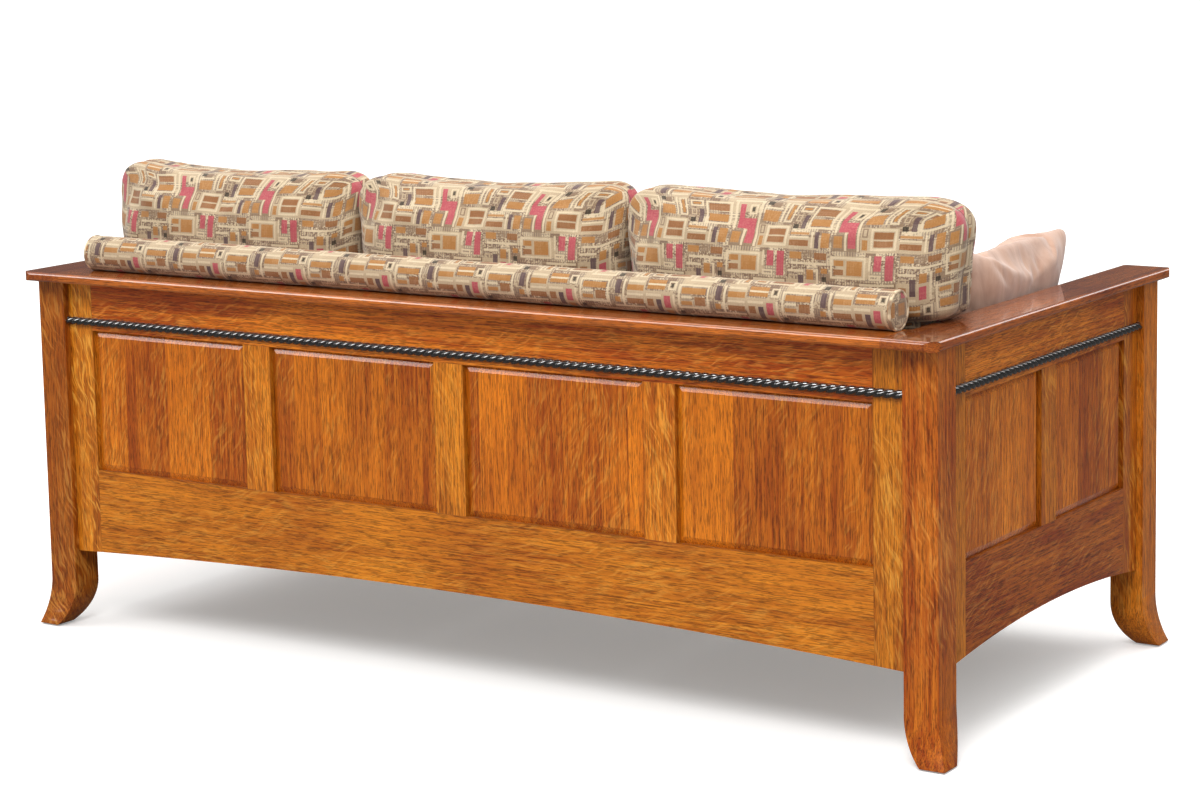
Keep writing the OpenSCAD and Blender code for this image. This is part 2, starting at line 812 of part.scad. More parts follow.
seat_cushion(-1);  // seat_cushion_right
back_cushion(1);  // back_cushion_left
back_cushion(0);  // back_cushion_middle
back_cushion(-1);  // back_cushion_right
throw_pillow();
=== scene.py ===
"""Looks of a three-seat oak panel sofa, built round its packed construction."""

import math

import bmesh
import bpy
import numpy as np
from bpy.props import FloatProperty, FloatVectorProperty, IntProperty, PointerProperty
from mathutils import Matrix, Vector, noise


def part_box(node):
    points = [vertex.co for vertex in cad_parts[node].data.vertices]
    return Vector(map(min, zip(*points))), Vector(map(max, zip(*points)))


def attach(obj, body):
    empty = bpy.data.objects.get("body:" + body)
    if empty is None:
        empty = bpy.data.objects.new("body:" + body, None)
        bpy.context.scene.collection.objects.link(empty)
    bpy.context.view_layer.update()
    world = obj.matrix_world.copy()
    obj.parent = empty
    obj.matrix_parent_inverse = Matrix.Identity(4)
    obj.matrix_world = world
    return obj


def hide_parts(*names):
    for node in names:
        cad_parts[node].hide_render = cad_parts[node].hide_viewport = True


bl_info = {
    "name": "Oak Panel Sofa",
    "version": (1, 0, 0),
    "blender": (4, 5, 0),
    "location": "View3D > Sidebar > Sofa",
    "description": "Dresses a three-seat oak sofa: quartered oak, rope mouldings, stuffed cushions "
                   "and a studio",
    "category": "Object",
}

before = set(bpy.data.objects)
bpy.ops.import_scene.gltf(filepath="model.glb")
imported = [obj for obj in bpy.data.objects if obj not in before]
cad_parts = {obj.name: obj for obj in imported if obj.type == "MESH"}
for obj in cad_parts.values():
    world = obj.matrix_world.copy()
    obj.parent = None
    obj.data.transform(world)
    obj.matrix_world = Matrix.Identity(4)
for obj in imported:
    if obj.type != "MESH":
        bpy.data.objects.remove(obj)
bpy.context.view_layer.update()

BACK_CUSHIONS = ("back_cushion_left", "back_cushion_middle", "back_cushion_right")
SEAT_CUSHIONS = ("seat_cushion_left", "seat_cushion_middle", "seat_cushion_right")


def tint(code):
    """A colour written as six hex digits, as the linear numbers that Blender mixes."""
    parts = [int(code[i:i + 2], 16) / 255 for i in (0, 2, 4)]
    return tuple(p / 12.92 if p <= 0.04045 else ((p + 0.055) / 1.055) ** 2.4 for p in parts)


def colour(name, code, description):
    """A colour setting with its default."""
    return FloatVectorProperty(name=name, description=description, subtype="COLOR", size=3,
                               min=0.0, max=1.0, default=tint(code))


def length(name, metres, description, low=0.0, high=10.0):
    """A length setting in metres."""
    return FloatProperty(name=name, description=description, default=metres, min=low, max=high,
                         subtype="DISTANCE", unit="LENGTH", precision=4)


def share(name, value, description, high=1.0):
    """A plain number setting from 0 up."""
    return FloatProperty(name=name, description=description, default=value, min=0.0, max=high)


def plain(name, value, description):
    """A plain number setting with no limits."""
    return FloatProperty(name=name, description=description, default=value)


def whole(name, value, description, low, high):
    """A whole number setting."""
    return IntProperty(name=name, description=description, default=value, min=low, max=high)


def angle(name, degrees, description):
    """An angle setting, given here in degrees."""
    return FloatProperty(name=name, description=description, default=math.radians(degrees),
                         subtype="ANGLE", unit="ROTATION")


class SofaWoodSettings(bpy.types.PropertyGroup):
    """Colours and edges of the oak."""

    oak_light: colour("Oak light", "f0921f", "Pale parts of the frame's grain")
    oak_dark: colour("Oak dark", "9e4406", "Dark parts of the frame's grain")
    oak_fleck: colour("Ray fleck", "fbb64a", "Flecks of the quartered face")
    fleck_upright: share("Upright fleck", 0.4, "Strength of the flecks on upright pieces")
    fleck_level: share("Level fleck", 0.34, "Strength of the flecks on level pieces")
    fleck_panel: share("Panel fleck", 0.26, "Strength of the flecks on the panels")
    slant_upright: angle("Upright slant", 20, "Angle of the flecks to the grain on upright pieces")
    slant_level: angle("Level slant", 13, "Angle of the flecks to the grain on level pieces")
    panel_light: colour("Panel light", "ee8615", "Pale parts of the panels' grain")
    panel_dark: colour("Panel dark", "a04609", "Dark parts of the panels' grain")
    cap_light: colour("Cap light", "d4731f", "Pale parts of the cap boards' grain")
    cap_dark: colour("Cap dark", "8c3c0d", "Dark parts of the cap boards' grain")
    cap_fleck: colour("Cap fleck", "b8682c", "Flecks of the cap boards")
    inner_light: colour("Inner wood light", "d9bf94", "Pale parts of the unstained wood")
    inner_dark: colour("Inner wood dark", "b08f62", "Dark parts of the unstained wood")
    edge_round: length("Edge round", 0.0012, "Radius of the eased edges", 0.0002, 0.004)
    lacquer: share("Lacquer", 0.7, "Weight of the lacquer over the frame")
    # How much darker the upper face of the cap boards is made
    cap_shade: share("Cap shade", 0.28, "Extra stain on the upper face of the cap boards")
    cap_lacquer: share("Cap lacquer", 1.0, "Weight of the lacquer over the cap boards")


class SofaRopeSettings(bpy.types.PropertyGroup):
    """The twist of the rope mouldings."""

    black: colour("Rope black", "0b0a09", "Lacquer of the rope mouldings")
    strands: whole("Strands", 3, "Strands laid up in the rope", 2, 5)
    pitch: length("Pitch", 0.0175, "Distance from one strand to the next along the rope", 0.006, 0.04)
    fullness: share("Fullness", 0.61, "Radius of a strand as a share of the rope's radius", 1.0)
    step: length("Step", 0.0024, "Distance between a strand's rings", 0.001, 0.01)
    sides: whole("Sides", 14, "Sides of a strand", 6, 24)


class SofaFabricSettings(bpy.types.PropertyGroup):
    """Colours and repeat of the woven fabric, and of the suede."""

    cream: colour("Cream", "e3ceab", "Light lines of the weave")
    straw: colour("Straw", "c9b190", "Light ground")
    taupe: colour("Taupe", "94795f", "Dark ground")
    ochre: colour("Ochre", "bb8040", "Yellow blocks")
    rust: colour("Rust", "9a6234", "Brown blocks")
    rose: colour("Rose", "c24e5c", "Pink bars")
    plum: colour("Plum", "5d4448", "Dark bars")
    ink: colour("Ink", "332b1f", "Smallest squares")
    repeat: length("Repeat", 0.2, "Width and height of one repeat of the pattern", 0.05, 1.0)
    thread: length("Thread", 0.0016, "Width of one thread of the weave", 0.0005, 0.01)
    suede: colour("Suede", "d2ae98", "Colour of the throw pillow")
    suede_dark: colour("Suede shade", "a67f6a", "Brushed parts of the throw pillow")


class SofaCushionSettings(bpy.types.PropertyGroup):
    """How the stuffed pieces are meshed and filled."""

    mesh_step: length("Mesh step", 0.012, "Size of one face before the last subdivision", 0.006, 0.05)
    start_share: share("Start share", 0.985, "Size from which a cushion is filled, as a share of its form")
    pressure: FloatProperty(name="Pressure", description="Pressure of the filling", default=4.0, min=0.0)
    swell_limit: length("Swell limit", 0.024, "Farthest that the filling may move a point", 0.0, 0.05)
    frames: whole("Frames", 20, "Frames of the filling", 2, 60)
    edge_power: plain("Edge power", 8.0, "Squareness of the boxed edges")
    corner_power: plain("Corner power", 12.0, "Squareness of the outline")
    under_power: plain("Under power", 26.0, "Squareness of the lower edges")
    seat_corner: plain("Seat corner", 20.0, "Squareness of the seat's corners")
    side_pull: length("Side pull", 0.006, "How far the sides are drawn in between the corners", 0.0, 0.03)
    back_crown: length("Back crown", 0.018, "Crown of each face of a back cushion", 0.0, 0.05)
    back_lean: angle("Back lean", 3.0, "Backward lean of the back cushions")
    seam: length("Seam", 0.003, "How deep the seams draw in", 0.0, 0.01)
    ear: length("Ear", 0.003, "Height of the upper corners above the top edge", 0.0, 0.04)
    top_rise: length("Top rise", 0.014, "How far the top edge is filled up between the corners", 0.0, 0.04)
    fold: length("Fold", 0.003, "Depth of the folds round the upper corners", 0.0, 0.02)
    right_lap: length("Right lap", 0.06, "How far the right back cushion swells over the arm board")
    seat_crown: length("Seat crown", 0.024, "Crown of a seat cushion's top", 0.0, 0.05)
    seat_under: length("Seat under", 0.002, "Crown of a seat cushion's underside", 0.0, 0.02)
    pillow_long: length("Pillow length", 0.436, "Length of the throw pillow before it is filled")
    pillow_tall: length("Pillow height", 0.350, "Height of the throw pillow before it is filled")
    pillow_thick: length("Pillow thickness", 0.125, "Thickness of the throw pillow")
    pillow_pull: length("Pillow pull", 0.005, "How far the pillow's sides are drawn in", 0.0, 0.05)
    pillow_ear: share("Pillow ear", 0.05, "How far the pillow's corners are drawn out")
    pillow_rise: share("Pillow rise", 0.9, "Share of the dip in the pillow's top edge that is filled up")
    pillow_reach: length("Pillow reach", 0.03, "How far the pillow swells forward past its form", 0.0, 0.05)
    gather: length("Gather", 0.003, "Depth of the gathers at the pillow's seam", 0.0, 0.02)
    pillow_lean: angle("Pillow lean", 22.0, "Lean of the throw pillow against the arm")
    welt: length("Welt", 0.006, "Diameter of the welts on the roll", 0.002, 0.012)


class SofaStageSettings(bpy.types.PropertyGroup):
    """Floor, lamps and camera."""

    floor: colour("Floor", "f4f3f1", "Colour of the floor")
    glow_near: share("Glow near", 0.25, "White that the camera sees in the floor under the sofa")
    glow_far: share("Glow far", 0.42, "White that the camera sees in the floor far off")
    sky: share("Sky", 1.0, "Strength of the even light from all round", 4.0)
    horizon: share("Horizon", 0.25, "Share of that light at the horizon")
    mirrored: share("Mirrored", 0.1, "Strength of the surroundings in glossy surfaces")
    ceiling: share("Ceiling", 5.5, "Strength of the ceiling in glossy surfaces", 10.0)
    window: share("Window", 0.5, "Share of the ceiling's strength in the window before the sofa")
    overhead: share("Overhead", 0.07, "Share of the ceiling's strength that is left straight overhead")
    bounce: share("Bounce", 0.5, "Share of the floor's colour in the light that it throws back")
    key: share("Key", 240.0, "Power of the large lamp above the camera, in watts", 5000.0)
    side: share("Side", 16.0, "Power of the lamp off the right end, in watts", 5000.0)
    fill: share("Fill", 60.0, "Power of the lamp on the left, in watts", 5000.0)
    top: share("Top", 80.0, "Power of the lamp overhead, in watts", 5000.0)
    lens: plain("Lens", 86.98, "Focal length in millimetres")
    shift: plain("Shift", -0.10, "Vertical shift of the lens")
    place: FloatVectorProperty(name="Place", description="Place of the camera", subtype="TRANSLATION",
                               unit="LENGTH", size=3, default=(-3.0324, 4.5686, 1.4476))
    azimuth: angle("Azimuth", 213.243, "Direction from which the camera looks")
    rise: angle("Rise", 7.851, "Angle of the camera above the horizon")
    roll: angle("Roll", -1.122, "Turn of the camera about its own line of sight")


SETTINGS = {
    "sofa_wood": SofaWoodSettings,
    "sofa_rope": SofaRopeSettings,
    "sofa_fabric": SofaFabricSettings,
    "sofa_cushions": SofaCushionSettings,
    "sofa_stage": SofaStageSettings,
}


class Bench:
    """Adds nodes to one tree, and links a value or a socket to each input."""

    def __init__(self, tree):
        self.tree = tree

    def feed(self, socket, value):
        """Links value to the socket if it is a socket, and otherwise sets it."""
        if isinstance(value, bpy.types.NodeSocket):
            self.tree.links.new(value, socket)
        elif isinstance(value, (tuple, list, Vector)) and socket.type == "RGBA" and len(value) == 3:
            socket.default_value = (*value, 1.0)
        else:
            socket.default_value = value

    def node(self, kind, inputs=None, **settings):
        """A new node with its settings and its inputs, named or numbered."""
        made = self.tree.nodes.new(kind)
        for name, value in settings.items():
            setattr(made, name, value)
        for key, value in (inputs or {}).items():
            self.feed(made.inputs[key], value)
        return made

    def form(self, kind, inputs=None):
        """What a Geometry Nodes node makes first."""
        return self.node("GeometryNode" + kind, inputs).outputs[0]

    def joined(self, forms):
        """Several forms as one."""
        made = self.node("GeometryNodeJoinGeometry")
        for form in forms:
            self.tree.links.new(form, made.inputs[0])
        return made.outputs[0]

    def maths(self, operation, *values):
        """A Math node's result."""
        return self.node("ShaderNodeMath", dict(enumerate(values)), operation=operation).outputs[0]

    def plus(self, *values):
        """The sum of two values."""
        return self.maths("ADD", *values)

    def minus(self, *values):
        """The first value less the second."""
        return self.maths("SUBTRACT", *values)

    def times(self, *values):
        """The product of two values."""
        return self.maths("MULTIPLY", *values)

    def vector(self, operation, *values, out=0):
        """A Vector Math node's result."""
        return self.node("ShaderNodeVectorMath", dict(enumerate(values)), operation=operation).outputs[out]

    def scaled(self, vector, factor):
        """A vector times a number."""
        return self.node("ShaderNodeVectorMath", {0: vector, "Scale": factor}, operation="SCALE").outputs[0]

    def split(self, value):
        """The x, y and z of a vector."""
        return self.node("ShaderNodeSeparateXYZ", {0: value}).outputs

    def join(self, x, y, z):
        """A vector of three values."""
        return self.node("ShaderNodeCombineXYZ", {0: x, 1: y, 2: z}).outputs[0]

    def mix(self, factor, a, b, blend="MIX"):
        """Two colours mixed."""
        made = self.node("ShaderNodeMix", data_type="RGBA", blend_type=blend)
        for name, value in (("Factor_Float", factor), ("A_Color", a), ("B_Color", b)):
            self.feed(next(s for s in made.inputs if s.identifier == name), value)
        return next(s for s in made.outputs if s.identifier == "Result_Color")

    def shaded(self, tone, shade):
        """A colour darkened by a value."""
        grey = self.node("ShaderNodeCombineColor", {0: shade, 1: shade, 2: shade}).outputs[0]
        return self.mix(1.0, tone, grey, "MULTIPLY")

    def noise(self, vector, scale, detail=2.0, roughness=0.5, distortion=0.0):
        """A noise between 0 and 1."""
        return self.node("ShaderNodeTexNoise", {
            "Vector": vector, "Scale": scale, "Detail": detail, "Roughness": roughness,
            "Distortion": distortion}).outputs[0]

    def grain(self, vector, stretch, detail, roughness=0.5, distortion=0.0):
        """A noise with its own number of repeats in a metre along each axis."""
        return self.noise(self.vector("MULTIPLY", vector, stretch), 1.0, detail, roughness, distortion)

    def spread(self, value, low, high, to_low=0.0, to_high=1.0, smooth=False):
        """A value mapped from one range to another and held inside it."""
        return self.node("ShaderNodeMapRange", {
            0: value, 1: low, 2: high, 3: to_low, 4: to_high},
            interpolation_type="SMOOTHSTEP" if smooth else "LINEAR").outputs[0]

    def group(self, tree, inputs=None):
        """A placed copy of a shader group."""
        made = self.node("ShaderNodeGroup", node_tree=tree)
        for name, value in (inputs or {}).items():
            self.feed(made.inputs[name], value)
        return made.outputs


def new_group(name, family, inputs, outputs):
    """A new group of nodes, its bench, and the sockets inside it of its inputs and its outputs."""
    tree = bpy.data.node_groups.new(name, family + "NodeTree")
    for label, kind, *value in inputs:
        socket = tree.interface.new_socket(label, in_out="INPUT", socket_type="NodeSocket" + kind)
        if value:
            socket.default_value = value[0]
    for label, kind in outputs:
        tree.interface.new_socket(label, in_out="OUTPUT", socket_type="NodeSocket" + kind)
    start = tree.nodes.new("NodeGroupInput")
    end = tree.nodes.new("NodeGroupOutput")
    return tree, Bench(tree), start.outputs, end.inputs


def shared(name, builder):
    """A shader group that is built once."""
    return bpy.data.node_groups.get(name) or builder(name)


def build_oak(name):
    """Quartered oak with its grain along Z: tone, pores and the rippled flecks of the rays."""
    tree, b, given, out = new_group(name, "Shader", [
        ("Vector", "Vector"),
        ("Seed", "Float", 0.0),
        ("Light", "Color", (0.5, 0.2, 0.04, 1)),
        ("Dark", "Color", (0.2, 0.05, 0.01, 1)),
        ("Fleck", "Color", (0.7, 0.35, 0.1, 1)),
        ("Fleck Amount", "Float", 0.5),
        ("Fleck Angle", "Float", 0.4),
        ("Board", "Float", 0.5),
    ], [("Color", "Color"), ("Roughness", "Float"), ("Height", "Float")])
    place, seed = given["Vector"], given["Seed"]
    x, y = b.split(place)[:2]
    board = b.maths("FLOOR", b.plus(b.maths("DIVIDE", b.plus(x, y), given["Board"]), seed))
    chance = b.node("ShaderNodeTexWhiteNoise", {"W": board}, noise_dimensions="1D").outputs[0]
    offset = b.plus(b.times(board, 3.7), b.times(seed, 1.9))
    moved = b.vector("ADD", place, b.join(offset, b.times(offset, 0.7), offset))
    bands = b.grain(moved, (30.0, 30.0, 1.6), 4.0, 0.6, 0.6)
    streaks = b.grain(moved, (190.0, 190.0, 5.0), 3.0, 0.6)
    pores = b.grain(moved, (640.0, 640.0, 34.0), 2.0, 0.7)
    cloud = b.noise(moved, 4.3, 2.0, 0.5)
    tone = b.plus(b.times(b.spread(bands, 0.3, 0.7), 0.42), b.times(b.spread(streaks, 0.32, 0.68), 0.58))
    tone = b.plus(tone, b.times(b.minus(chance, 0.5), 0.55))
    tone = b.plus(tone, b.times(b.minus(cloud, 0.5), 0.9))
    wood = b.mix(b.spread(tone, 0.0, 1.0), given["Dark"], given["Light"])
    mx, my, mz = b.split(moved)[:3]
    bend = b.times(b.minus(b.noise(moved, 9.0, 3.0), 0.5), 0.07)
    across = b.plus(b.plus(mx, my), bend)
    sine, cosine = (b.maths(wave, given["Fleck Angle"]) for wave in ("SINE", "COSINE"))
    over = b.minus(b.times(across, cosine), b.times(mz, sine))
    along = b.plus(b.times(across, sine), b.times(mz, cosine))
    ribbon = b.noise(b.join(b.times(over, 190.0), b.times(along, 24.0), offset), 1.0, 1.0, 0.5, 0.3)
    patch = b.spread(b.grain(moved, (10.0, 10.0, 3.0), 2.0), 0.36, 0.62, smooth=True)
    reach = b.times(patch, given["Fleck Amount"])
    fleck = b.times(b.spread(ribbon, 0.5, 0.68), reach)
    furrow = b.times(b.spread(ribbon, 0.48, 0.3), reach)
    pore = b.maths("MAXIMUM", b.spread(pores, 0.42, 0.49), b.times(fleck, 0.8))
    shade = b.times(b.spread(pore, 0.0, 1.0, 0.46, 1.0), b.spread(furrow, 0.0, 1.0, 1.0, 0.6))
    b.feed(out["Color"], b.shaded(b.mix(fleck, wood, given["Fleck"]), shade))
    b.feed(out["Roughness"], b.spread(b.minus(streaks, b.times(fleck, 0.3)), 0.2, 0.8, 0.3, 0.48))
    b.feed(out["Height"], b.plus(pore, b.times(streaks, 0.4)))
    return tree


def build_stain_shade_mask(name):
    """Mask of a board's outer edges, where stain gathers and shade is painted: close to two of its box's
    sides at once.
    """
    tree, b, given, out = new_group(name, "Shader", [
        ("Vector", "Vector"), ("Centre", "Vector"),
        ("Half", "Vector"), ("Width", "Vector"),
    ], [("Mask", "Float")])
    away = b.vector("ABSOLUTE", b.vector("SUBTRACT", given["Vector"], given["Centre"]))
    x, y, z = b.split(b.vector("DIVIDE", b.vector("SUBTRACT", given["Half"], away), given["Width"]))[:3]
    second = b.maths("MAXIMUM", b.maths("MINIMUM", x, y), b.maths("MINIMUM", b.maths("MAXIMUM", x, y), z))
    b.feed(out["Mask"], b.spread(second, 0.0, 1.0, 1.0, 0.0, smooth=True))
    return tree


def principled(name, **constants):
    """A material with a Principled shader; constants are set on the shader's own sockets."""
    material = bpy.data.materials.new(name)
    material.use_nodes = True
    bench = Bench(material.node_tree)
    shader = material.node_tree.nodes["Principled BSDF"]
    for label, value in constants.items():
        bench.feed(shader.inputs[label.replace("_", " ").title().replace("Ior", "IOR")], value)
    return material, bench, shader


def object_place(bench):
    """Object coordinates."""
    return bench.node("ShaderNodeTexCoord").outputs["Object"]


def coat(bench, shader, tone, height=None, strength=0.0, distance=0.0):
    """Feeds the shader's colour, and its normal from a height."""
    bench.feed(shader.inputs["Base Color"], tone)
    if height is not None:
        bump = bench.node("ShaderNodeBump", {"Strength": strength, "Distance": distance, "Height": height})
        bench.feed(shader.inputs["Normal"], bump.outputs[0])


# Widths in metres: a board that leaves a piece in one tone, the boards of a panel, the stain and painted
# shade at an edge, at a panel's edge and on the sides of a thin board, and the thickness up to which a
# board is thin
WHOLE_BOARD, PANEL_BOARD = 4.0, 0.105
STAINED_SHADED_EDGE, PANEL_STAINED_SHADED_EDGE, STAINED_SHADED_SIDE, THIN_BOARD = 0.0022, 0.013, 0.024, 0.04
# Where the figure of each group of pieces starts
FRAME_SEED, PANEL_SEED, CAP_SEED, INNER_SEED = 0.37, 60.41, 90.13, 120.7
GRAIN_TURNS = {
    "x": (0.0, math.pi / 2, 0.0),
    "y": (math.pi / 2, 0.0, 0.0),
    "z": (0.0, 0.0, 0.0),
}


def stain_shade_reach(name, width):
    """How far the stain and the painted shade reach in from a board's edges, and right across the sides of
    its thickness.
    """
    low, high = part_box(name)
    extent = high - low
    thin = min(extent)
    return Vector([STAINED_SHADED_SIDE if part == thin and thin < THIN_BOARD else width for part in extent])


def oak(name, grain, seed, light, dark, fleck, amount, board=WHOLE_BOARD, lacquer=0.0, rough=0.12,
        edge=None, stain_shade_share=0.38, slant=0.4, gloss=1.5, top_shade=0.0):
    """Stained oak for one construction piece, with its grain along one axis of the sofa, and stain and
    painted shade at its edges.
    """
    material, bench, shader = principled("oak_" + name, coat_weight=lacquer, coat_roughness=rough,
                                         coat_ior=gloss, specular_ior_level=0.22)
    place = object_place(bench)
    turned = bench.node("ShaderNodeMapping", {"Vector": place, "Rotation": GRAIN_TURNS[grain]})
    made = bench.group(shared("quartered_oak", build_oak), {
        "Vector": turned.outputs[0], "Seed": seed, "Light": light, "Dark": dark, "Fleck": fleck,
        "Fleck Amount": amount, "Fleck Angle": slant, "Board": board})
    low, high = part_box(name)
    rim = bench.group(shared("gathered_stain", build_stain_shade_mask), {
        "Vector": place, "Centre": (low + high) / 2, "Half": (high - low) / 2,
        "Width": (edge,) * 3 if edge else stain_shade_reach(name, STAINED_SHADED_EDGE)})["Mask"]
    # Darker at the board's edges: stain gathered at the joints, and painted shade in the recesses, on the
    # panels' bevels and on the sides of thin boards
    stain_and_shade_colour = bench.mix(bench.times(rim, stain_shade_share), made["Color"], tuple(0.2 * part for part in dark))
    # Darker towards the upper face of the board
    if top_shade:
        upper = bench.spread(bench.split(place)[2], high.z - 0.004, high.z - 0.0005, 0.0, top_shade,
                             smooth=True)
        stain_and_shade_colour = bench.mix(upper, stain_and_shade_colour, tuple(0.12 * part for part in dark))
    bench.feed(shader.inputs["Roughness"], made["Roughness"])
    coat(bench, shader, stain_and_shade_colour, made["Height"], 0.25, 0.0004)
    return material


# The woven pattern, one repeat on a grid of 28 by 28: left, low, right, high, colour, and the width
# of the line where the rectangle is only a frame
PATTERN_GRID = 28
# Distance in metres of the fine stripes in its ground
STRIPE_PITCH = 0.0048
PATTERN_COLOURS = ("ground", "cream", "straw", "taupe", "ochre", "rust", "rose", "plum", "ink")
PATTERN = (
    (0, 0, 9, 6, "straw"), (9, 0, 16, 4, "taupe"), (19, 0, 28, 3, "straw"), (0, 12, 5, 19, "straw"),
    (10, 9, 18, 14, "straw"), (20, 16, 28, 21, "straw"), (6, 22, 15, 27, "straw"),
    (0.4, 0.6, 6.6, 5.8, "cream", 0.55), (1.2, 1.4, 5.8, 5, "rust"), (1.2, 2.9, 5.8, 3.3, "straw"),
    (7.3, 0.6, 8.6, 3, "ochre"), (7.3, 3.6, 8.6, 5.8, "taupe", 0.3), (10.1, 0.8, 12, 7.4, "rose"),
    (13.3, 4.6, 14.6, 11.2, "rose"), (12, 4.6, 13.3, 7.4, "rose"), (9.2, 0.2, 9.8, 12.6, "cream"),
    (12.3, 0.2, 12.9, 4.6, "cream"), (13.4, 0.8, 15.6, 3.6, "ochre"), (9.3, 12.1, 16.2, 12.7, "cream"),
    (15.2, 4.4, 15.8, 12.6, "cream"), (10.3, 8.4, 12.3, 11.2, "cream", 0.45), (11, 9.2, 11.7, 10.4, "ink"),
    (16.6, 5.2, 23.4, 11.8, "cream", 0.55), (17.4, 6, 22.6, 8, "ochre"), (17.4, 9, 22.6, 11, "rust"),
    (24, 5.2, 25.2, 9, "plum"), (24, 9.8, 27.4, 11.8, "cream", 0.45), (24.7, 10.5, 26.7, 11.1, "ochre"),
    (16.8, 0.6, 19, 4.2, "ochre"), (19.6, 0.4, 20.7, 4.4, "plum"), (21.2, 0.4, 21.7, 4.4, "cream"),
    (22.4, 0.8, 27.6, 2.2, "rust"), (22.4, 2.7, 27.6, 3.2, "cream"), (22.4, 3.6, 27.6, 4.2, "ochre"),
    (0.4, 6.8, 2.6, 12.4, "cream", 0.45), (1.1, 7.5, 1.9, 11.7, "ochre"), (3.2, 6.8, 3.7, 12.6, "cream"),
    (4.2, 6.8, 8.4, 9.6, "ochre"), (4.2, 10.1, 8.4, 10.6, "cream"), (4.2, 11.2, 6.4, 12.6, "taupe", 0.3),
    (7, 11.2, 8.4, 12.6, "ink"), (26, 5.2, 27.4, 6.4, "ink"), (26, 7.2, 27.4, 9, "straw", 0.3),
    (0.4, 13.5, 5, 14.1, "cream"), (0.4, 14.8, 5, 16.2, "ochre"), (0.4, 16.9, 5, 17.4, "cream"),
    (0.4, 18.2, 5, 19.6, "rust"), (0.4, 20.2, 8.8, 20.8, "cream"), (5.7, 13.4, 6.3, 20.3, "cream"),
    (6.9, 13.6, 8.4, 17.2, "plum"), (6.9, 18, 8.4, 19.4, "ochre"), (10.2, 13.8, 18.6, 19.8, "cream", 0.55),
    (11.1, 14.7, 17.7, 16.2, "ochre"), (11.1, 16.8, 14, 18.9, "rust"), (14.7, 16.7, 17.7, 17.2, "cream"),
    (14.7, 17.9, 17.7, 18.9, "ochre"), (19.4, 13.2, 21.6, 15.6, "cream", 0.45),
    (20.1, 13.9, 20.9, 14.9, "ink"), (22.4, 13, 27.4, 15.6, "ochre"), (22.4, 14.1, 27.4, 14.6, "cream"),
    (19.5, 16.6, 20.1, 23.6, "cream"), (20.8, 17, 22.6, 20.2, "rose"), (20.8, 21, 22.6, 23.4, "ochre"),
    (23.4, 16.7, 27.6, 17.3, "cream"), (23.4, 18, 24.8, 22, "plum"), (25.6, 18, 27.4, 20, "rust"),
    (25.6, 20.8, 27.4, 22, "straw", 0.3), (23.4, 22.7, 27.6, 23.3, "cream"), (0.7, 21.6, 2.6, 27.4, "rose"),
    (3.5, 23.8, 5.3, 27.4, "rose"), (3.6, 21.6, 6.4, 22.9, "cream", 0.45), (6.1, 23.8, 6.6, 27.4, "cream"),
    (7.3, 21.6, 16.4, 26.8, "cream", 0.55), (8.2, 22.5, 12.2, 25.9, "ochre"), (13, 22.5, 15.5, 23.8, "rust"),
    (13, 24.6, 15.5, 25.9, "ochre"), (17.4, 20.6, 18.6, 21.8, "ink"), (17.2, 22.6, 18.8, 23.8, "ochre"),
    (17.4, 24.5, 26.8, 25.1, "cream"), (17.4, 25.8, 20.6, 27.4, "rust"),
    (21.4, 25.8, 23.2, 27.4, "taupe", 0.3), (24, 25.8, 27.2, 27.4, "ochre"),
)


def pattern_mask(b, u, v, left, low, right, high):
    """Mask of one rectangle on the pattern's grid."""
    across = b.maths("COMPARE", u, (left + right) / 2, (right - left) / 2)
    return b.times(across, b.maths("COMPARE", v, (low + high) / 2, (high - low) / 2))


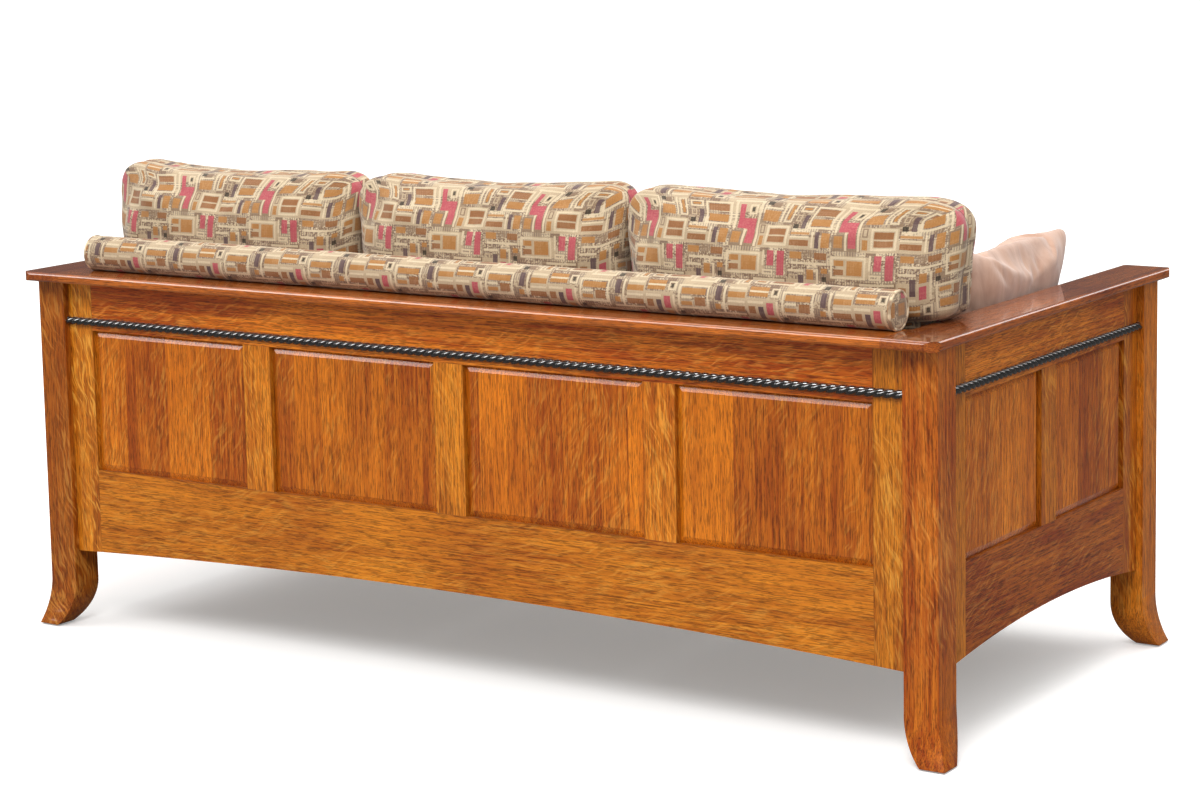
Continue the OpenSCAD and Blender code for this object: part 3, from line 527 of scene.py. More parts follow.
def build_weave(name):
    """Woven patchwork of blocks and light lines, with its threads, on a flat place in metres."""
    fabric = bpy.context.scene.sofa_fabric
    tree, b, given, out = new_group(name, "Shader", [
        ("Vector", "Vector"),
        ("Repeat", "Float", fabric.repeat),
        ("Thread", "Float", fabric.thread),
    ], [("Color", "Color"), ("Height", "Float")])
    place = given["Vector"]
    ragged = b.node("ShaderNodeTexNoise", {"Vector": place, "Scale": 260.0, "Detail": 1.0}).outputs["Color"]
    flat = b.vector("ADD", place, b.scaled(b.vector("SUBTRACT", ragged, (0.5, 0.5, 0.5)), 0.0007))
    cell = b.vector("DIVIDE", flat, b.join(given["Repeat"], given["Repeat"], 1.0))
    cell = b.scaled(b.vector("FRACTION", cell), PATTERN_GRID)
    cell_u, cell_v = b.split(cell)[:2]
    u, v = b.split(place)[:2]
    warp, weft = (b.maths("ABSOLUTE", b.maths("SINE", b.times(
        b.maths("DIVIDE", way, given["Thread"]), math.pi))) for way in (u, v))
    kinds = len(PATTERN_COLOURS)
    code = PATTERN_COLOURS.index("ground") / kinds
    for left, low, right, high, kind, *line in PATTERN:
        mask = pattern_mask(b, cell_u, cell_v, left, low, right, high)
        for width in line:
            mask = b.minus(mask, pattern_mask(b, cell_u, cell_v, left + width, low + width,
                                              right - width, high - width))
        kind_code = (PATTERN_COLOURS.index(kind) + 0.5) / kinds
        code = b.node("ShaderNodeMix", {0: mask, 2: code, 3: kind_code}).outputs[0]
    ramp = b.node("ShaderNodeValToRGB", {0: code})
    ramp.color_ramp.interpolation = "CONSTANT"
    for number, kind in enumerate(PATTERN_COLOURS[1:]):
        stop = ramp.color_ramp.elements[1] if number == 0 else ramp.color_ramp.elements.new(1.0)
        stop.position = (number + 1) / kinds
        stop.color = (*getattr(fabric, kind), 1.0)
    square = b.vector("FLOOR", b.vector("MULTIPLY", cell, (0.4, 0.57, 1.0)))
    chance = b.node("ShaderNodeTexWhiteNoise", {"Vector": square}).outputs
    one, two, three = b.split(chance["Color"])[:3]
    stripes = []
    for way, picked in ((u, b.maths("GREATER_THAN", one, 0.4)), (v, b.maths("GREATER_THAN", two, 0.6))):
        wave = b.maths("SINE", b.times(way, 2 * math.pi / STRIPE_PITCH))
        stripes.append(b.times(b.maths("GREATER_THAN", wave, 0.35), picked))
    ground = b.mix(b.spread(three, 0.25, 1.0), tuple(fabric.taupe), tuple(fabric.cream))
    ground = b.mix(b.times(b.maths("MAXIMUM", *stripes), 0.5), ground, tuple(fabric.plum))
    bare = b.maths("LESS_THAN", code, 1 / kinds)
    woven = b.mix(b.maths("MAXIMUM", bare, 0.14), ramp.outputs[0], ground)
    over = b.times(warp, weft)
    worn = b.noise(flat, 900.0, 2.0)
    shade = b.times(b.spread(over, 0.0, 0.7, 0.78, 1.0), b.spread(worn, 0.25, 0.75, 0.76, 1.12))
    b.feed(out["Color"], b.shaded(woven, shade))
    b.feed(out["Height"], b.plus(over, b.times(worn, 0.3)))
    return tree


def patterned_fabric(name="woven_cloth", seam_shade_share=0.75):
    """The woven upholstery fabric, laid on a piece's own UV map in metres, with painted shade along the
    seams.
    """
    found = bpy.data.materials.get(name)
    if found:
        return found
    material, bench, shader = principled(name, roughness=0.82, sheen_weight=0.25,
                                         sheen_roughness=0.45, specular_ior_level=0.3)
    place = bench.node("ShaderNodeUVMap", uv_map="cloth").outputs[0]
    made = bench.group(shared("woven_patchwork", build_weave), {"Vector": place})
    gap = bench.node("ShaderNodeAttribute", attribute_name="seam").outputs["Fac"]
    # Painted shade along the seams, darkest at the seam itself
    seam = bench.times(bench.spread(gap, 0.0006, 0.0024, 1.0, 0.0, smooth=True), seam_shade_share)
    height = bench.minus(made["Height"], bench.times(seam, 2.0))
    coat(bench, shader, bench.mix(seam, made["Color"], tint("4a3d30")), height, 0.35, 0.0006)
    return material


def suede_cloth():
    """Brushed suede, with lighter and darker nap."""
    fabric = bpy.context.scene.sofa_fabric
    material, bench, shader = principled("suede_cloth", roughness=0.92, sheen_weight=0.55,
                                         sheen_roughness=0.5, specular_ior_level=0.25)
    place = object_place(bench)
    nap = bench.noise(bench.vector("MULTIPLY", place, (1.0, 1.6, 0.6)), 16.0, 4.0, 0.6, 0.6)
    fibre = bench.noise(place, 900.0, 3.0, 0.6)
    tone = bench.plus(bench.times(bench.spread(nap, 0.3, 0.7), 0.75), bench.times(fibre, 0.25))
    coat(bench, shader, bench.mix(tone, tuple(fabric.suede_dark), tuple(fabric.suede)), fibre, 0.4, 0.0005)
    return material


def welt_cloth():
    """The fabric as it looks wound round a thin cord: patches of its light and dark ground."""
    fabric = bpy.context.scene.sofa_fabric
    material, bench, shader = principled("welt_cloth", roughness=0.85, sheen_weight=0.25,
                                         sheen_roughness=0.45, specular_ior_level=0.3)
    place = object_place(bench)
    patch = bench.noise(place, 60.0, 1.0)
    woven = bench.mix(bench.spread(patch, 0.42, 0.58), tuple(fabric.taupe), tuple(fabric.cream))
    coat(bench, shader, woven, bench.noise(place, 1100.0, 2.0), 0.4, 0.0005)
    return material


def clouded(name, scale, detail, tones, roughness, blend=None, **constants):
    """A material with a faint cloud in its colour and its roughness."""
    material, bench, shader = principled(name, **constants)
    cloud = bench.noise(object_place(bench), scale, detail)
    factor = bench.spread(cloud, *blend) if blend else cloud
    bench.feed(shader.inputs["Roughness"], bench.spread(cloud, 0.3, 0.7, *roughness))
    coat(bench, shader, bench.mix(factor, *tones))
    return material


def black_lacquer():
    """Glossy black lacquer with a faint unevenness."""
    black = tuple(bpy.context.scene.sofa_rope.black)
    return clouded("black_lacquer", 240.0, 2.0, (black, tint("1c1916")), (0.22, 0.34), (0.3, 0.8),
                   coat_weight=1.0, coat_roughness=0.07, coat_ior=2.1, specular_ior_level=0.4)


def screw_steel():
    """Zinc-plated steel."""
    return clouded("zinc_steel", 700.0, 3.0, (tint("55524d"), tint("7b7872")), (0.5, 0.65), metallic=1.0)


def glide_nylon():
    """Grey nylon."""
    return clouded("grey_nylon", 500.0, 2.0, (tint("5f5a52"), tint("7d776c")), (0.4, 0.6))


def finish_node(name, material, ease=0.0):
    """Gives a construction piece its material, and eases its edges."""
    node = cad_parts[name]
    node.data.materials.clear()
    node.data.materials.append(material)
    if ease:
        weld = node.modifiers.new("weld", "WELD")
        weld.merge_threshold = 0.00002
        bevel = node.modifiers.new("eased_edges", "BEVEL")
        bevel.width = ease
        bevel.segments = 2
        bevel.limit_method = "ANGLE"
        bevel.angle_limit = math.radians(35)
        bevel.harden_normals = True
    return node


FRAME_PIECES = (
    "post_rear_left", "post_rear_right", "post_front_left", "post_front_right",
    "back_top_rail", "back_bottom_rail", "front_rail", "back_stile_left", "back_stile_right",
    "back_muntin_1", "back_muntin_2", "back_muntin_3",
    "left_top_rail", "left_bottom_rail", "left_stile_rear", "left_stile_front", "left_muntin",
    "right_top_rail", "right_bottom_rail", "right_stile_rear", "right_stile_front", "right_muntin",
)
# Shares by which a piece's flecks are stronger or weaker than the rest, its colour lighter or darker (its
# own stain, together with painted light and shade for how the light falls on it), and its green less
FLECKED = {"post_rear_left": 1.7, "back_stile_left": 1.7, "back_stile_right": 1.4, "back_top_rail": 0.8,
           "right_muntin": 1.3, "right_stile_front": 1.4, "back_muntin_2": 0.6, "back_bottom_rail": 0.8}
TONE_AND_PAINTED_LIGHT = {"post_rear_left": 0.66, "back_top_rail": 1.36, "post_rear_right": 0.94, "back_stile_right": 0.87,
         "back_bottom_rail": 0.91, "back_panel_4": 0.9, "right_top_rail": 1.1,
         "right_bottom_rail": 0.78, "left_bottom_rail": 0.85, "post_front_right": 0.85,
         "back_muntin_3": 1.12, "back_muntin_1": 1.06, "back_panel_2": 0.92, "right_stile_rear": 0.9}
REDDER = {"post_rear_left": 0.86, "post_rear_right": 0.88, "post_front_right": 0.88, "post_front_left": 0.9,
          "right_bottom_rail": 0.86, "right_top_rail": 0.92, "back_top_rail": 0.94}
PANELS = ("back_panel_1", "back_panel_2", "back_panel_3", "back_panel_4", "left_panel_rear",
          "left_panel_front", "right_panel_rear", "right_panel_front")
CAP_GRAIN = {"back_cap": "x", "left_arm_cap": "y", "right_arm_cap": "y"}
INNER_GRAIN = {
    "cap_cleat_back": "x", "cap_cleat_left": "y", "cap_cleat_right": "y",
    "seat_cleat_front": "x", "seat_cleat_back": "x", "seat_cleat_left": "y", "seat_cleat_right": "y",
    "middle_beam": "x", "seat_slats": "y", "roll_core": "x", "dowels": "x",
}
SCREWS = ("cap_screws", "slat_screws", "roll_screws")


def frame_grain(name):
    """The axis that the grain of a frame piece follows."""
    if not name.endswith("rail"):
        return "z"
    return "x" if name.startswith(("back", "front")) else "y"


def toned(name, *shades):
    """The shades of a piece with its own share of stain and of painted light and shade, and of green."""
    share_of, green_share = TONE_AND_PAINTED_LIGHT.get(name, 1.0), REDDER.get(name, 1.0)
    return [(share_of * red, share_of * green * green_share, share_of * blue) for red, green, blue in shades]


class SOFA_OT_dress_frame(bpy.types.Operator):
    """Stains and lacquers the posts, rails, stiles, muntins and panels"""

    bl_idname = "sofa.dress_frame"
    bl_label = "Oak frame and panels"

    def execute(self, context):
        wood = context.scene.sofa_wood
        for seed, name in enumerate(FRAME_PIECES):
            grain = frame_grain(name)
            upright = grain == "z"
            tones = toned(name, wood.oak_light, wood.oak_dark, wood.oak_fleck)
            amount = (wood.fleck_upright if upright else wood.fleck_level) * FLECKED.get(name, 1.0)
            material = oak(name, grain, seed + FRAME_SEED, *tones, amount, lacquer=wood.lacquer,
                           slant=wood.slant_upright if upright else wood.slant_level)
            finish_node(name, material, wood.edge_round)
        for seed, name in enumerate(PANELS):
            tones = toned(name, wood.panel_light, wood.panel_dark, wood.oak_fleck)
            material = oak(name, "z", seed + PANEL_SEED, *tones, wood.fleck_panel, PANEL_BOARD, wood.lacquer,
                           edge=PANEL_STAINED_SHADED_EDGE, stain_shade_share=0.3, slant=-wood.slant_upright)
            finish_node(name, material, wood.edge_round)
        return {"FINISHED"}


class SOFA_OT_dress_caps(bpy.types.Operator):
    """Gives the cap boards their darker stain and high gloss"""

    bl_idname = "sofa.dress_caps"
    bl_label = "Cap boards"

    def execute(self, context):
        wood = context.scene.sofa_wood
        for seed, (name, grain) in enumerate(CAP_GRAIN.items()):
            material = oak(name, grain, seed + CAP_SEED, tuple(wood.cap_light), tuple(wood.cap_dark),
                           tuple(wood.cap_fleck), wood.fleck_level, lacquer=wood.cap_lacquer, rough=0.02,
                           stain_shade_share=0.0, slant=wood.slant_level, gloss=1.7, top_shade=wood.cap_shade)
            finish_node(name, material)
        return {"FINISHED"}


class SOFA_OT_dress_inside(bpy.types.Operator):
    """Finishes the cleats, slats, beam, core, dowels, screws and glides"""

    bl_idname = "sofa.dress_inside"
    bl_label = "Inside of the seat"

    def execute(self, context):
        wood = context.scene.sofa_wood
        pale = tuple(wood.inner_light)
        for seed, (name, grain) in enumerate(INNER_GRAIN.items()):
            material = oak(name, grain, seed + INNER_SEED, pale, tuple(wood.inner_dark), pale, 0.2,
                           stain_shade_share=0.0)
            finish_node(name, material)
        steel = screw_steel()
        for name in SCREWS:
            finish_node(name, steel)
        finish_node("glides", glide_nylon())
        return {"FINISHED"}


def grow(name, tree, values, place):
    """Runs a geometry tree on an empty mesh and returns the result as a plain mesh, put in place."""
    carrier = bpy.data.objects.new(name + "_source", bpy.data.meshes.new(name + "_source"))
    bpy.context.scene.collection.objects.link(carrier)
    modifier = carrier.modifiers.new("nodes", "NODES")
    modifier.node_group = tree
    for socket in tree.interface.items_tree:
        if socket.item_type == "SOCKET" and socket.in_out == "INPUT" and socket.name in values:
            modifier[socket.identifier] = values[socket.name]
    bpy.context.view_layer.update()
    evaluated = carrier.evaluated_get(bpy.context.evaluated_depsgraph_get())
    mesh = bpy.data.meshes.new_from_object(evaluated)
    mesh.name = name
    bpy.data.objects.remove(carrier)
    mesh.transform(place)
    mesh.update()
    piece = bpy.data.objects.new(name, mesh)
    bpy.context.scene.collection.objects.link(piece)
    return piece


def finish_form(b, forms, material, out):
    """Joins and smooths what a geometry tree has made, gives it its material and feeds it to the output."""
    form = b.form("RealizeInstances", {"Geometry": b.form("SetShadeSmooth", {"Geometry": b.joined(forms)})})
    b.feed(out["Geometry"], b.form("SetMaterial", {"Geometry": form, "Material": material}))


def build_rope():
    """Strands wound round a straight line along X, flattened where they meet the face at y = 0."""
    tree, b, given, made = new_group("twisted_rope", "Geometry", [
        ("Geometry", "Geometry"), ("Length", "Float", 1.0), ("Lead", "Float", 0.04),
        ("Coil Radius", "Float", 0.004), ("Strand Radius", "Float", 0.004), ("Stand Off", "Float", 0.002),
        ("Rings", "Int", 100), ("Sides", "Int", 10), ("Material", "Material")], [("Geometry", "Geometry")])
    count = bpy.context.scene.sofa_rope.strands
    half = b.times(given["Length"], 0.5)
    line = b.form("CurvePrimitiveLine", {
        "Start": b.join(b.times(half, -1.0), 0.0, 0.0), "End": b.join(half, 0.0, 0.0)})
    rings = b.form("ResampleCurve", {"Curve": line, "Count": given["Rings"]})
    x = b.split(b.form("InputPosition"))[0]
    turn = b.times(b.maths("DIVIDE", x, given["Lead"]), 2 * math.pi)
    profile = b.form("CurvePrimitiveCircle", {"Resolution": given["Sides"], "Radius": given["Strand Radius"]})
    tubes = []
    for strand in range(count):
        phase = b.plus(turn, 2 * math.pi * strand / count)
        out = b.plus(b.times(b.maths("COSINE", phase), given["Coil Radius"]), given["Stand Off"])
        up = b.times(b.maths("SINE", phase), given["Coil Radius"])
        wound = b.form("SetPosition", {"Geometry": rings, "Position": b.join(x, b.times(out, -1.0), up)})
        tubes.append(b.form("CurveToMesh", {"Curve": wound, "Profile Curve": profile, "Fill Caps": True}))
    px, py, pz = b.split(b.form("InputPosition"))[:3]
    flat = b.form("SetPosition", {
        "Geometry": b.joined(tubes), "Position": b.join(px, b.maths("MINIMUM", py, -ROPE_GAP), pz)})
    finish_form(b, [flat], given["Material"], made)
    return tree


# Each rope: the node it stands for, its quarter turns about Z, the axis it runs along, the corner of its
# box (low 0, high 1) on the face it lies on, and the hand of its lay
ROPES = (("back_rope", 2, 0, 0, 1.0), ("left_rope", 1, 1, 0, 1.0), ("right_rope", -1, 1, 1, -1.0))
# Distance that the rope keeps from that face
ROPE_GAP = 0.0001


class SOFA_OT_lay_ropes(bpy.types.Operator):
    """Winds the rope mouldings and plants them under the caps"""

    bl_idname = "sofa.lay_ropes"
    bl_label = "Rope mouldings"

    def execute(self, context):
        rope = context.scene.sofa_rope
        tree = build_rope()
        lacquer = black_lacquer()
        for node, quarters, along, face, hand in ROPES:
            low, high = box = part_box(node)
            across = 1 - along
            run, depth = high[along] - low[along], high[across] - low[across]
            centre = (low + high) / 2
            centre[across] = box[face][across]
            turn = Matrix.Rotation(quarters * math.pi / 2, 4, "Z")
            radius = (high.z - low.z) / 2
            strand = radius * rope.fullness
            piece = grow(node + "_twist", tree, {
                "Length": run, "Lead": hand * rope.pitch * rope.strands, "Coil Radius": radius - strand,
                "Strand Radius": strand, "Stand Off": depth - radius, "Rings": round(run / rope.step),
                "Sides": rope.sides, "Material": lacquer}, Matrix.Translation(centre) @ turn)
            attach(piece, "frame")
            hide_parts(node)
        return {"FINISHED"}


# Cloth that holds a filling, the width of the groove beside a seam, and the depth and the size of the
# unevenness of each kind of stuffed piece
FILLED_CLOTH = {"quality": 6, "mass": 0.25, "tension_stiffness": 12, "compression_stiffness": 12,
                "shear_stiffness": 6, "bending_stiffness": 0.4, "use_pressure": True}
SEAM_REACH = 0.011
BACK_LUMPS, SEAT_LUMPS, PILLOW_LUMPS, ROLL_LUMPS = (0.004, 0.11), (0.003, 0.14), (0.004, 0.05), (0.0012, 0.09)
# The pillow's mesh step, squareness and thickness before it is filled, and the distance of its gathers
PILLOW_STEP, PILLOW_POWERS, PILLOW_START, GATHER_PITCH = 0.008, (2.2, 2.2, 9.0), 0.8, 0.036
# The roll's mesh, how far it is made inside its size, how far it may swell, and its rounded ends
ROLL_SIDES, ROLL_STEP, ROLL_CLEAR, ROLL_SWELL, ROLL_END = 48, 0.014, 0.001, 0.002, 0.004
ROLL_RINGS = (0.0, 0.35, 0.7, 0.94)


def box_grid(counts):
    """Grid points of a closed box's surface, and its faces with the side that each is on."""
    ids, points, faces = {}, [], []

    def corner(key):
        if key not in ids:
            ids[key] = len(points)
            points.append(key)
        return ids[key]

    for axis in range(3):
        u, v = (axis + 1) % 3, (axis + 2) % 3
        for end in (0, counts[axis]):
            for p in range(counts[u]):
                for q in range(counts[v]):
                    loop = []
                    for dp, dq in ((0, 0), (1, 0), (1, 1), (0, 1)):
                        key = [0, 0, 0]
                        key[axis], key[u], key[v] = end, p + dp, q + dq
                        loop.append(corner(tuple(key)))
                    if end == 0:
                        loop.reverse()
                    faces.append((loop, axis, end > 0))
    return points, faces


def stuffed_point(a, b, c, size, crowns, pull, powers):
    """A point of a stuffed form: a and c run across its faces and b through its thickness, each -1 to 1."""
    edge_power, corner_power = powers[1 if b > 0 else 0], powers[2]
    width, thick, height = size
    rim = (abs(a) ** corner_power + abs(c) ** corner_power) ** (1 / corner_power)
    low, high = 0.5, 1.0
    for _ in range(18):
        scale = (low + high) / 2
        if (scale * rim) ** (edge_power * 0.4545) + (scale * abs(b)) ** edge_power > 1:
            high = scale
        else:
            low = scale
    turn = math.atan2(c, a)
    kept = 1 - 2 * pull / min(width, height) * math.cos(2 * turn) ** 2
    middle_power = 2.4 + (corner_power - 2.4) * (scale * rim) ** 4
    round_share = scale * (abs(a) ** middle_power + abs(c) ** middle_power) ** (1 / middle_power)
    dome = max(0.0, 1 - round_share ** 2)
    crown = crowns[1] if b > 0 else -crowns[0]
    return Vector((scale * a * width / 2 * kept, scale * b * thick / 2 + crown * dome,
                   scale * c * height / 2 * kept))


def walk(points, keys, ids, kept=(1, 1, 1)):
    """Lengths along a row of grid points, counted only in the kept directions."""
    row = points[[ids[key] for key in keys]] * kept
    return np.concatenate(([0.0], np.cumsum(np.linalg.norm(np.diff(row, axis=0), axis=1))))


def cloth_map(keys, points, counts, upright):
    """Places on the flat cloth in metres for each side of the form. The cloth of the face that
    shows runs on over the edges, and the opposite face has its own piece."""
    ids = {key: i for i, key in enumerate(keys)}
    nx, ny, nz = counts
    along_row = (1, 1, 0) if upright else (1, 0, 1)
    laid = {}
    for side, end in (("face", ny), ("other", 0)):
        across, up = {}, {}
        for k in range(nz + 1):
            row = [(i, end, k) for i in range(nx + 1)]
            values = walk(points, row, ids, along_row)
            across.update(zip(row, values - values[nx // 2]))
        for i in range(nx + 1):
            column = [(i, end, k) for k in range(nz + 1)]
            values = walk(points, column, ids, (0, 1, 1))
            up.update(zip(column, values - values[nz // 2]))
        laid[side] = {key: (across[key], up[key]) for key in across}
    for side, level, end, sign in (("top", True, nz, 1), ("bottom", True, 0, -1),
                                   ("high", False, nx, 1), ("low", False, 0, -1)):
        laid[side] = {}
        for n in range((nx if level else nz) + 1):
            row = [(n, j, end) if level else (end, j, n) for j in range(ny, -1, -1)]
            u, v = laid["face"][row[0]]
            for key, gone in zip(row, walk(points, row, ids)):
                laid[side][key] = (u, v + sign * gone) if level else (u + sign * gone, v)
    return laid


def lay_cloth(mesh, grid, upright, across, up):
    """Lays the cloth on the finished form, with its pattern moved by across and up."""
    keys, faces, counts = grid
    laid = cloth_map(keys, coords(mesh), counts, upright)
    sides = {(1, True): "face", (1, False): "other", (2, True): "top", (2, False): "bottom",
             (0, True): "high", (0, False): "low"}
    cloth = mesh.uv_layers.new(name="cloth")
    at = 0
    for loop, axis, far in faces:
        places = laid[sides[(axis, far)]]
        for vertex in loop:
            u, v = places[keys[vertex]]
            cloth.data[at].uv = (u + across, v + up)
            at += 1


def seam_gap(key, counts, size, boxed):
    """Distance of a grid point from the nearest seam: round the middle, or round both faces when boxed."""
    across = min(key[0], counts[0] - key[0]) * size[0] / counts[0]
    up = min(key[2], counts[2] - key[2]) * size[2] / counts[2]
    deep = abs(key[1] - counts[1] / 2) * size[1] / counts[1]
    return min(across, up) + (size[1] / 2 - deep if boxed else deep)


def stuffed_mesh(name, size, crowns, pull, step, powers, boxed=False):
    """A closed stuffed form on a regular grid, centred on the origin, and that grid."""
    counts = [max(4, 2 * round(extent / step / 2)) for extent in size]
    keys, faces = box_grid(counts)
    points = [stuffed_point(*(2 * key[n] / counts[n] - 1 for n in range(3)), size, crowns, pull, powers)
              for key in keys]
    mesh = bpy.data.meshes.new(name)
    mesh.from_pydata(points, [], [loop for loop, _, _ in faces])
    seam = mesh.attributes.new("seam", "FLOAT", "POINT")
    seam.data.foreach_set("value", [seam_gap(key, counts, size, boxed) for key in keys])
    mesh.update()
    return mesh, (keys, faces, counts)


def coords(mesh, kind="co"):
    """The mesh's points, or their normals, as an array."""
    flat = np.empty(len(mesh.vertices) * 3)
    mesh.vertices.foreach_get(kind, flat)
    return flat.reshape(-1, 3)


def set_coords(mesh, points):
    """Puts an array back as the mesh's points."""
    mesh.vertices.foreach_set("co", np.asarray(points, np.float64).ravel())
    mesh.update()


def fit_to(mesh, low, high):
    """Moves and stretches the mesh so that it just fills a box."""
    points = coords(mesh)
    had_low, had_high = points.min(0), points.max(0)
    low, high = np.array(low), np.array(high)
    set_coords(mesh, (points - had_low) / (had_high - had_low) * (high - low) + low)


def fill(piece, limit):
    """Fills the piece like a cushion: cloth under pressure, moved by no more than the limit."""
    cushions = bpy.context.scene.sofa_cushions
    before = coords(piece.data)
    cloth = piece.modifiers.new("filling", "CLOTH")
    for name, value in FILLED_CLOTH.items():
        setattr(cloth.settings, name, value)
    cloth.settings.uniform_pressure_force = cushions.pressure
    cloth.settings.effector_weights.gravity = 0.0
    cloth.collision_settings.use_self_collision = False
    cloth.collision_settings.use_collision = False
    cloth.point_cache.frame_start = 1
    cloth.point_cache.frame_end = cushions.frames
    scene = bpy.context.scene
    for step in range(1, cushions.frames + 1):
        scene.frame_set(step)
    after = coords(piece.evaluated_get(bpy.context.evaluated_depsgraph_get()).data)
    piece.modifiers.remove(cloth)
    scene.frame_set(1)
    moved = after - before
    far = np.linalg.norm(moved, axis=1, keepdims=True)
    moved *= np.minimum(1.0, limit / np.maximum(far, 1e-9))
    set_coords(piece.data, before + moved)


def subdivide(piece):
    """Applies one level of subdivision and smooth shading."""
    surface = piece.modifiers.new("subdivision", "SUBSURF")
    surface.levels = 1
    surface.render_levels = 1
    graph = bpy.context.evaluated_depsgraph_get()
    mesh = bpy.data.meshes.new_from_object(piece.evaluated_get(graph), preserve_all_data_layers=True,
                                           depsgraph=graph)
    piece.modifiers.remove(surface)
    old = piece.data
    piece.data = mesh
    bpy.data.meshes.remove(old)
    piece.data.shade_smooth()


def new_piece(name, mesh, material):
    """A piece of the sofa from a mesh that is already in place."""
    mesh.name = name
    mesh.materials.clear()
    mesh.materials.append(material)
    piece = bpy.data.objects.new(name, mesh)
    bpy.context.scene.collection.objects.link(piece)
    return piece


def draw_seams(mesh, depth):
    """Draws the cloth in along the seams."""
    gap = np.empty(len(mesh.vertices))
    mesh.attributes["seam"].data.foreach_get("value", gap)
    inward = depth * np.exp(-(gap / SEAM_REACH) ** 2)
    set_coords(mesh, coords(mesh) - coords(mesh, "normal") * inward[:, None])


def eased(values, low, high):
    """A smooth step of an array of values."""
    part = np.clip((values - low) / (high - low), 0, 1)
    return part * part * (3 - 2 * part)


def dress_ears(mesh, low, high, seed):
    """Pinches the two upper corners, fills up the top between them and folds the cloth round them."""
    cushions = bpy.context.scene.sofa_cushions
    points = coords(mesh)
    middle, half = (low + high) / 2, (high - low) / 2
    u = (points[:, 0] - middle.x) / half.x
    w = (points[:, 2] - low.z) / (2 * half.z)
    ear = eased(np.abs(u), 0.62, 0.9) * eased(w, 0.55, 1.0)
    for side in (-1, 1):
        corner = np.array((middle.x + side * (half.x - 0.035), middle.y, high.z - 0.03))
        away = points - corner
        reach = np.linalg.norm(away[:, [0, 2]], axis=1)
        turn = np.arctan2(away[:, 2], away[:, 0] * side)
        fold = np.sin(turn * 9 + seed + side) * eased(reach, 0.0, 0.05) * (1 - eased(reach, 0.06, 0.2))
        outward = np.sign(points[:, 1] - middle.y)
        near = 1 - eased(reach, 0.0, 0.11)
        points[:, 1] += outward * fold * cushions.fold * (np.sign(u) == side)
        points[:, 1] -= (points[:, 1] - middle.y) * 0.3 * near * (np.sign(u) == side)
    points[:, 2] += cushions.ear * ear + cushions.top_rise * eased(w, 0.4, 1.0) * (1 - u ** 4)
    set_coords(mesh, points)


def lap_over(mesh, low, high, arm_top):
    """Swells the outer half of a back cushion over the arm board, and sinks it onto the board."""
    points = coords(mesh)
    outer = np.clip(-(points[:, 0] - (low.x + high.x) / 2) / (high.x - low.x) * 2, 0, 1) ** 3
    above = points[:, 2] - arm_top
    points[:, 0] -= bpy.context.scene.sofa_cushions.right_lap * outer * eased(above, 0.002, 0.024)
    points[:, 2] -= 0.012 * outer * np.exp(-((above - 0.026) / 0.028) ** 2)
    set_coords(mesh, points)


def knead(mesh, depth, size, seed):
    """Soft hand-made unevenness along the normals, the same each run."""
    points = coords(mesh)
    lift = np.array([noise.noise(Vector(p) / size + Vector((seed, seed * 0.7, 0))) for p in points])
    set_coords(mesh, points + coords(mesh, "normal") * lift[:, None] * depth)


def sew(node, low, high, size, crowns, powers, turn, lumps, boxed=False):
    """Sews a boxed cushion, fills it and brings it back to its size; the piece and its mesh's grid."""
    cushions = bpy.context.scene.sofa_cushions
    mesh, grid = stuffed_mesh(node, size, crowns, cushions.side_pull, cushions.mesh_step, powers, boxed)
    mesh.transform(Matrix.Rotation(turn, 4, "X"))
    fit_to(mesh, low, high)
    piece = new_piece(node + "_cover", mesh, patterned_fabric())
    around = Matrix.Translation((low + high) / 2)
    mesh.transform(around @ Matrix.Scale(cushions.start_share, 4) @ around.inverted())
    fill(piece, cushions.swell_limit)
    fit_to(mesh, low, high)
    knead(mesh, *lumps)
    draw_seams(mesh, cushions.seam)
    return piece, grid


def finish_soft(piece, node):
    """Hangs a stuffed piece on the body of the node that it stands for, and hides that node."""
    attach(piece, node)
    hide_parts(node)


def gather_seam(mesh, size, depth, ear, rise):
    """Puckers that run in from the seam round a pillow that stands in the XZ plane, and drawn-out corners."""
    points = coords(mesh)
    u, v = points[:, 0] / np.abs(points[:, 0]).max(), points[:, 2] / points[:, 2].max()
    inset = np.maximum(0, 1 - np.maximum(np.abs(u), np.abs(v))) * size[2] / 2
    along = np.where(np.abs(u) > np.abs(v), points[:, 2], points[:, 0])
    jitter = np.array([noise.noise(Vector((t * 30, 3.1 * np.sign(p[1]), 7.7)))
                       for t, p in zip(along, points)])
    wave = np.sin(along / GATHER_PITCH * 2 * math.pi + 5 * jitter)
    fade = eased(inset, 0.0, 0.008) * np.exp(-inset / 0.04) * (0.6 + jitter)
    points[:, 1] += np.sign(points[:, 1]) * wave * fade * depth
    drawn = 1 + ear * eased(-u, 0.6, 1.0) * eased(np.abs(v), 0.6, 1.0)
    points[:, 0] *= drawn
    points[:, 2] *= drawn
    spots = np.linspace(-0.96, 0.96, 25)
    crest = np.array([points[np.abs(u - spot) < 0.06, 2].max() for spot in spots])
    lack = np.interp(u, spots, crest.max() - crest)
    points[:, 2] += rise * lack * eased(v, 0.2, 1.0) * (1 - np.minimum(np.abs(u), 1) ** 8)
    set_coords(mesh, points)


